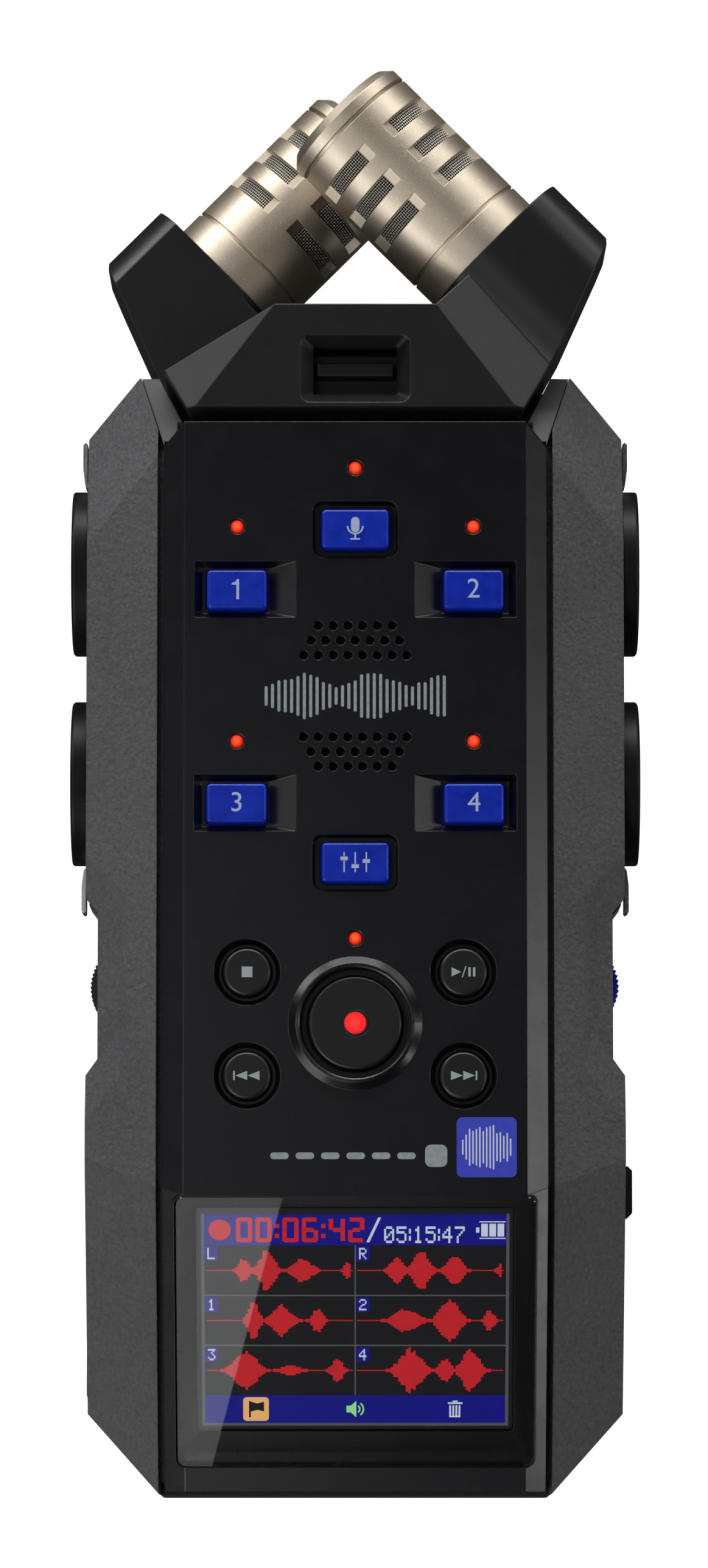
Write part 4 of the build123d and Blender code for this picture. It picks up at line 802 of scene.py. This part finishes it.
for index, swells in enumerate(WAVES.values()):
    cell_left = -HALF_W if index % 2 == 0 else 0.0
    axis_y = BAR_BOTTOM - ROW * (index // 2 + 0.5)
    axis_right = cell_left + PICTURE_W / 2 - AXIS_INSET
    wave_boxes.append(rectangle(cell_left + AXIS_INSET, axis_y + AXIS_HALF, axis_right, axis_y - AXIS_HALF))
    for column in range(int((PICTURE_W / 2 - 0.8) / COLUMN)):
        place = (column + 0.5) * COLUMN
        high = max(height * exp(-((place - middle) / spread) ** 2) for middle, spread, height in swells)
        steps = round(high * wave_rng.uniform(0.82, 1.06) / LEVEL_STEP)
        if steps:
            left = cell_left + 0.4 + column * COLUMN
            half = steps * LEVEL_STEP
            wave_boxes.append(rectangle(left, axis_y + half, left + COLUMN, axis_y - half))
screen_layer("waves", wave_boxes, 1, red)

tag_boxes = []
tag_marks = []
for index, mark in enumerate("LR1234"):
    cell_left = -HALF_W if index % 2 == 0 else 0.1
    tag_top = BAR_BOTTOM - ROW * (index // 2) - (0.1 if index < 2 else 0.25)
    tag_boxes.append(rectangle(cell_left, tag_top, cell_left + 1.85, tag_top - 2.15))
    tag_marks += glyph_boxes(mark, cell_left + 0.42, tag_top - 0.25, 0.2, 0.235, 0.2)
screen_layer("tags", tag_boxes, 2, navy)
screen_layer("tag_marks", tag_marks, 3, white)

FOOT_Y = (FOOT_TOP + PICTURE_BOTTOM) / 2
screen_layer("flag_tile", [soft_rectangle(-13.5, FOOT_Y, 3.5, 3.5, 0.5)], 1, orange)
screen_layer("flag_mark", [
    rectangle(-14.45, FOOT_Y + 1.2, -14.2, FOOT_Y - 1.2),
    [(-14.2, FOOT_Y + 1.1), (-14.2, FOOT_Y - 0.35), (-13.3, FOOT_Y - 0.1),
     (-12.4, FOOT_Y - 0.35), (-12.4, FOOT_Y + 1.1), (-13.3, FOOT_Y + 0.85)]], 2, black)
screen_layer("speaker_mark", [
    [(-1.2, FOOT_Y - 0.5), (-0.6, FOOT_Y - 0.5), (0.15, FOOT_Y - 1.2),
     (0.15, FOOT_Y + 1.2), (-0.6, FOOT_Y + 0.5), (-1.2, FOOT_Y + 0.5)],
    band_outline(0.0, FOOT_Y, 0.5, 0.72, -50, 50), band_outline(0.0, FOOT_Y, 1.0, 1.22, -50, 50)], 1, green)
bin_boxes = [
    rectangle(12.6, FOOT_Y + 1.0, 14.6, FOOT_Y + 0.75),
    rectangle(13.25, FOOT_Y + 1.25, 13.95, FOOT_Y + 1.05),
]
for step in range(4):
    bin_boxes.append(rectangle(12.8 + 0.42 * step, FOOT_Y + 0.55, 13.04 + 0.42 * step, FOOT_Y - 1.2))
bin_boxes.append(rectangle(12.8, FOOT_Y - 1.0, 14.3, FOOT_Y - 1.2))
screen_layer("bin_mark", bin_boxes, 1, white)

# ---------------------------------------------------------------- woven screens of the microphones

WIRE_R = 0.066
WEAVE_PITCH = 0.36
WEAVE_R = 8.68
SLOTS = (11.35, 16.2, 21.05)
FRONT_SCREEN_REACH = 27.2
FRONT_SCREEN_R = 6.5
SLOT_SPAN = 2.9
OFF_AXIS = Vector((0.31, 0.52, 0.79))   # no wire runs this way, so it can start each wire's section


def tube_along(build, points, sides=4, radius=WIRE_R):
    """A thin wire through points, closed at both ends."""
    rings = []
    for index, point in enumerate(points):
        ahead = points[min(index + 1, len(points) - 1)] - points[max(index - 1, 0)]
        ahead.normalize()
        side = ahead.cross(OFF_AXIS).normalized()
        other = ahead.cross(side)
        section = disc_outline(0, 0, radius, sides)
        rings.append([build.verts.new(point + side * across + other * up) for across, up in section])
    for ring, after in zip(rings, rings[1:]):
        for s in range(sides):
            nxt = (s + 1) % sides
            build.faces.new((ring[s], ring[nxt], after[nxt], after[s]))
    build.faces.new(list(reversed(rings[0])))
    build.faces.new(rings[-1])


def woven_sleeve(build, reach):
    """A band of woven wire round the microphone, behind one row of slots."""
    around = round(2 * pi * WEAVE_R / WEAVE_PITCH / 2) * 2
    rows = round(SLOT_SPAN / WEAVE_PITCH)
    for wire in range(around):
        angle = 2 * pi * wire / around
        points = []
        for step in range(2 * rows + 1):
            wave = WIRE_R * cos(pi * (step / 2 + wire))
            radius = WEAVE_R + wave
            height = reach - SLOT_SPAN / 2 + step * WEAVE_PITCH / 2
            points.append(Vector((radius * cos(angle), radius * sin(angle), height)))
        tube_along(build, points)
    for row in range(rows + 1):
        height = reach - SLOT_SPAN / 2 + row * WEAVE_PITCH
        points = []
        for step in range(2 * around + 1):
            angle = pi * step / around
            wave = -WIRE_R * cos(pi * (step / 2 + row))
            radius = WEAVE_R + wave
            points.append(Vector((radius * cos(angle), radius * sin(angle), height)))
        tube_along(build, points)


def woven_disc(build, height, radius):
    """A flat woven screen across the microphone's front."""
    count = int(radius / WEAVE_PITCH)
    for way in (0, 1):
        for line in range(-count, count + 1):
            offset = line * WEAVE_PITCH
            half = sqrt(radius ** 2 - offset ** 2)
            steps = max(2, int(2 * half / (WEAVE_PITCH / 2)))
            points = []
            for step in range(steps + 1):
                along = -half + 2 * half * step / steps
                wave = WIRE_R * cos(pi * (along / WEAVE_PITCH + line + way))
                spot = (along, offset) if way == 0 else (offset, along)
                points.append(Vector((spot[0], spot[1], height + wave)))
            tube_along(build, points)


wire_material = metal_material("wire", (0.85, 0.80, 0.72), (0.95, 0.91, 0.84), 0.50, 0.0)
for side, turned in (("right", False), ("left", True)):
    weave = bmesh.new()
    for slot_reach in SLOTS:
        woven_sleeve(weave, slot_reach)
    woven_disc(weave, FRONT_SCREEN_REACH, FRONT_SCREEN_R)
    weave.transform(microphone_plane(turned))
    weave_mesh = bpy.data.meshes.new(f"{side}_weave")
    weave.to_mesh(weave_mesh)
    weave.free()
    finish_piece(f"{side}_weave", weave_mesh, wire_material, "capsule", True)

# ---------------------------------------------------------------- details of the inputs

JACK_Z = 27.2
INPUTS = {"input_1": (-1, 29.13), "input_2": (1, 29.13), "input_3": (-1, -0.25), "input_4": (1, -0.25)}
INSERT_FACE = 38.1
PIN_CIRCLE = 5.75


def input_plane(side, jack_y):
    """Local Z points out of the side wall and local X along the recorder."""
    place = Matrix.Translation(Vector((0, jack_y, JACK_Z)) * MM)
    turn = Matrix(((0, 0, side), (1, 0, 0), (0, side, 0))).to_4x4()
    return in_mm(place @ turn)


for name, (side, jack_y) in INPUTS.items():
    local = input_plane(side, jack_y)
    ring = [
        (3.24, INSERT_FACE - 0.8), (3.24, INSERT_FACE + 0.12), (3.32, INSERT_FACE + 0.2),
        (3.85, INSERT_FACE + 0.2), (3.95, INSERT_FACE + 0.1), (3.95, INSERT_FACE - 0.02),
        (3.3, INSERT_FACE - 0.8),
    ]
    lathe(f"{name}_bush", ring, local, materials["nickel"], "body")
    for index, angle in enumerate((90, 210, 330)):
        pin_x = PIN_CIRCLE * cos(radians(angle))
        pin_y = PIN_CIRCLE * sin(radians(angle))
        spot = local @ Matrix.Translation((pin_x, pin_y * side, 0))
        sleeve = [(0.85, INSERT_FACE - 6.0), (0.85, INSERT_FACE - 1.0), (1.0, INSERT_FACE - 0.85),
                  (1.3, INSERT_FACE - 0.85), (1.3, INSERT_FACE - 6.0)]
        lathe(f"{name}_contact_{index + 1}", sleeve, spot, materials["brass"], "body", 24)

# ---------------------------------------------------------------- the latch's spring

cad_spring = frame["nodes"]["latch_spring"]
spring_mesh = cad_spring.data.copy()
spring_mesh.transform(cad_spring.matrix_world)
spring = finish_piece("latch_spring_coil", spring_mesh, materials["steel"], "capsule", True)
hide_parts("latch_spring")
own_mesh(spring)

# ---------------------------------------------------------------- studio

FLOOR_HALF = 3.0            # metres
FLOOR_DROP = 0.0002         # metres below the recorder, so that the two faces don't fight
floor_surface = Surface("floor", Roughness=0.9)
floor_surface.colour(floor_surface.blend(floor_surface.noise(220.0), (0.86, 0.86, 0.86), (0.90, 0.90, 0.90)))
floor_surface.relief([(floor_surface.noise(1.5), 0.01)])
floor_surface.glow((1.0, 1.0, 1.0), 0.85)
floor_build = bmesh.new()
bmesh.ops.create_grid(floor_build, x_segments=1, y_segments=1, size=FLOOR_HALF)
floor_mesh = bpy.data.meshes.new("floor")
floor_build.to_mesh(floor_mesh)
floor_build.free()
floor_mesh.materials.append(floor_surface.material)
floor = bpy.data.objects.new("floor", floor_mesh)
floor.location = (0, 0, -FLOOR_DROP)
bpy.context.scene.collection.objects.link(floor)
floor.visible_glossy = False
floor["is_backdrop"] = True


def soft_light(name, place, target, size, power):
    """A rectangular soft box that looks at a point."""
    lamp_data = bpy.data.lights.new(name, "AREA")
    lamp_data.shape = "RECTANGLE"
    lamp_data.size, lamp_data.size_y = size
    lamp_data.energy = power
    lamp_object = bpy.data.objects.new(name, lamp_data)
    lamp_object.location = place
    lamp_object.rotation_euler = (Vector(target) - Vector(place)).to_track_quat("-Z", "Y").to_euler()
    bpy.context.scene.collection.objects.link(lamp_object)
    return lamp_object


MIDDLE = (0.0, 0.0, 0.03)
soft_light("top_left_box", (-0.72, 0.72, 0.28), MIDDLE, (0.5, 0.25), 3.0)
soft_light("top_left_card", (-0.55, 0.53, 0.70), MIDDLE, (0.25, 0.2), 0.7)
soft_light("left_box", (-0.52, 0.0, 0.90), MIDDLE, (0.25, 1.0), 1.0)
soft_light("foot_left_box", (-0.62, -0.62, 0.45), MIDDLE, (0.5, 0.45), 2.8)
soft_light("top_box", (0.0, 0.95, 0.38), MIDDLE, (0.9, 0.14), 4.5)
soft_light("top_low_box", (0.0, 1.0, 0.30), MIDDLE, (0.9, 0.3), 4.0)
soft_light("top_right_box", (0.72, 0.72, 0.28), MIDDLE, (0.5, 0.25), 1.0)
soft_light("top_right_card", (0.55, 0.53, 0.70), MIDDLE, (0.25, 0.2), 0.6)
soft_light("right_strip", (0.88, 0.0, 0.51), MIDDLE, (0.10, 1.0), 1.9)
soft_light("right_foot_card", (0.89, -0.50, 0.19), (0.0, -0.08, 0.035), (0.12, 0.3), 0.7)

# the card whose slanted edge shows in the screen's window
CARD_EDGE = Vector((-0.023, -0.521, 0.440))
CARD_SIZE = 0.5
CARD_LEAN = -12.7
lens_card = soft_light("lens_card", CARD_EDGE, (0.0, -0.075, 0.038), (CARD_SIZE, CARD_SIZE), 0.88)
lens_card.rotation_euler.rotate_axis("Z", radians(CARD_LEAN))
lens_card.location = CARD_EDGE - lens_card.rotation_euler.to_matrix() @ Vector((CARD_SIZE / 2, 0, 0))

world = bpy.data.worlds.new("studio")
world.use_nodes = True
world.node_tree.nodes["Background"].inputs["Color"].default_value = (1.0, 1.0, 1.0, 1.0)
world.node_tree.nodes["Background"].inputs["Strength"].default_value = 0.02
bpy.context.scene.world = world

# ---------------------------------------------------------------- camera

VIEW_TILT = 6.2
DISTANCE = 1000.0
TARGET = Vector((-0.165, -2.25, 47.0)) * MM
camera_data = bpy.data.cameras.new("camera")
camera_data.sensor_fit = "VERTICAL"
camera_data.sensor_height = 36.0
camera_data.lens = 169.6
camera_data.clip_start = 0.05
camera = bpy.data.objects.new("camera", camera_data)
lean = radians(VIEW_TILT)
camera.location = TARGET + Vector((0, -sin(lean), cos(lean))) * DISTANCE * MM
camera.rotation_euler = (lean, 0, 0)
bpy.context.scene.collection.objects.link(camera)
bpy.context.scene.camera = camera
bpy.context.scene.view_settings.view_transform = "Standard"

low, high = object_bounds()
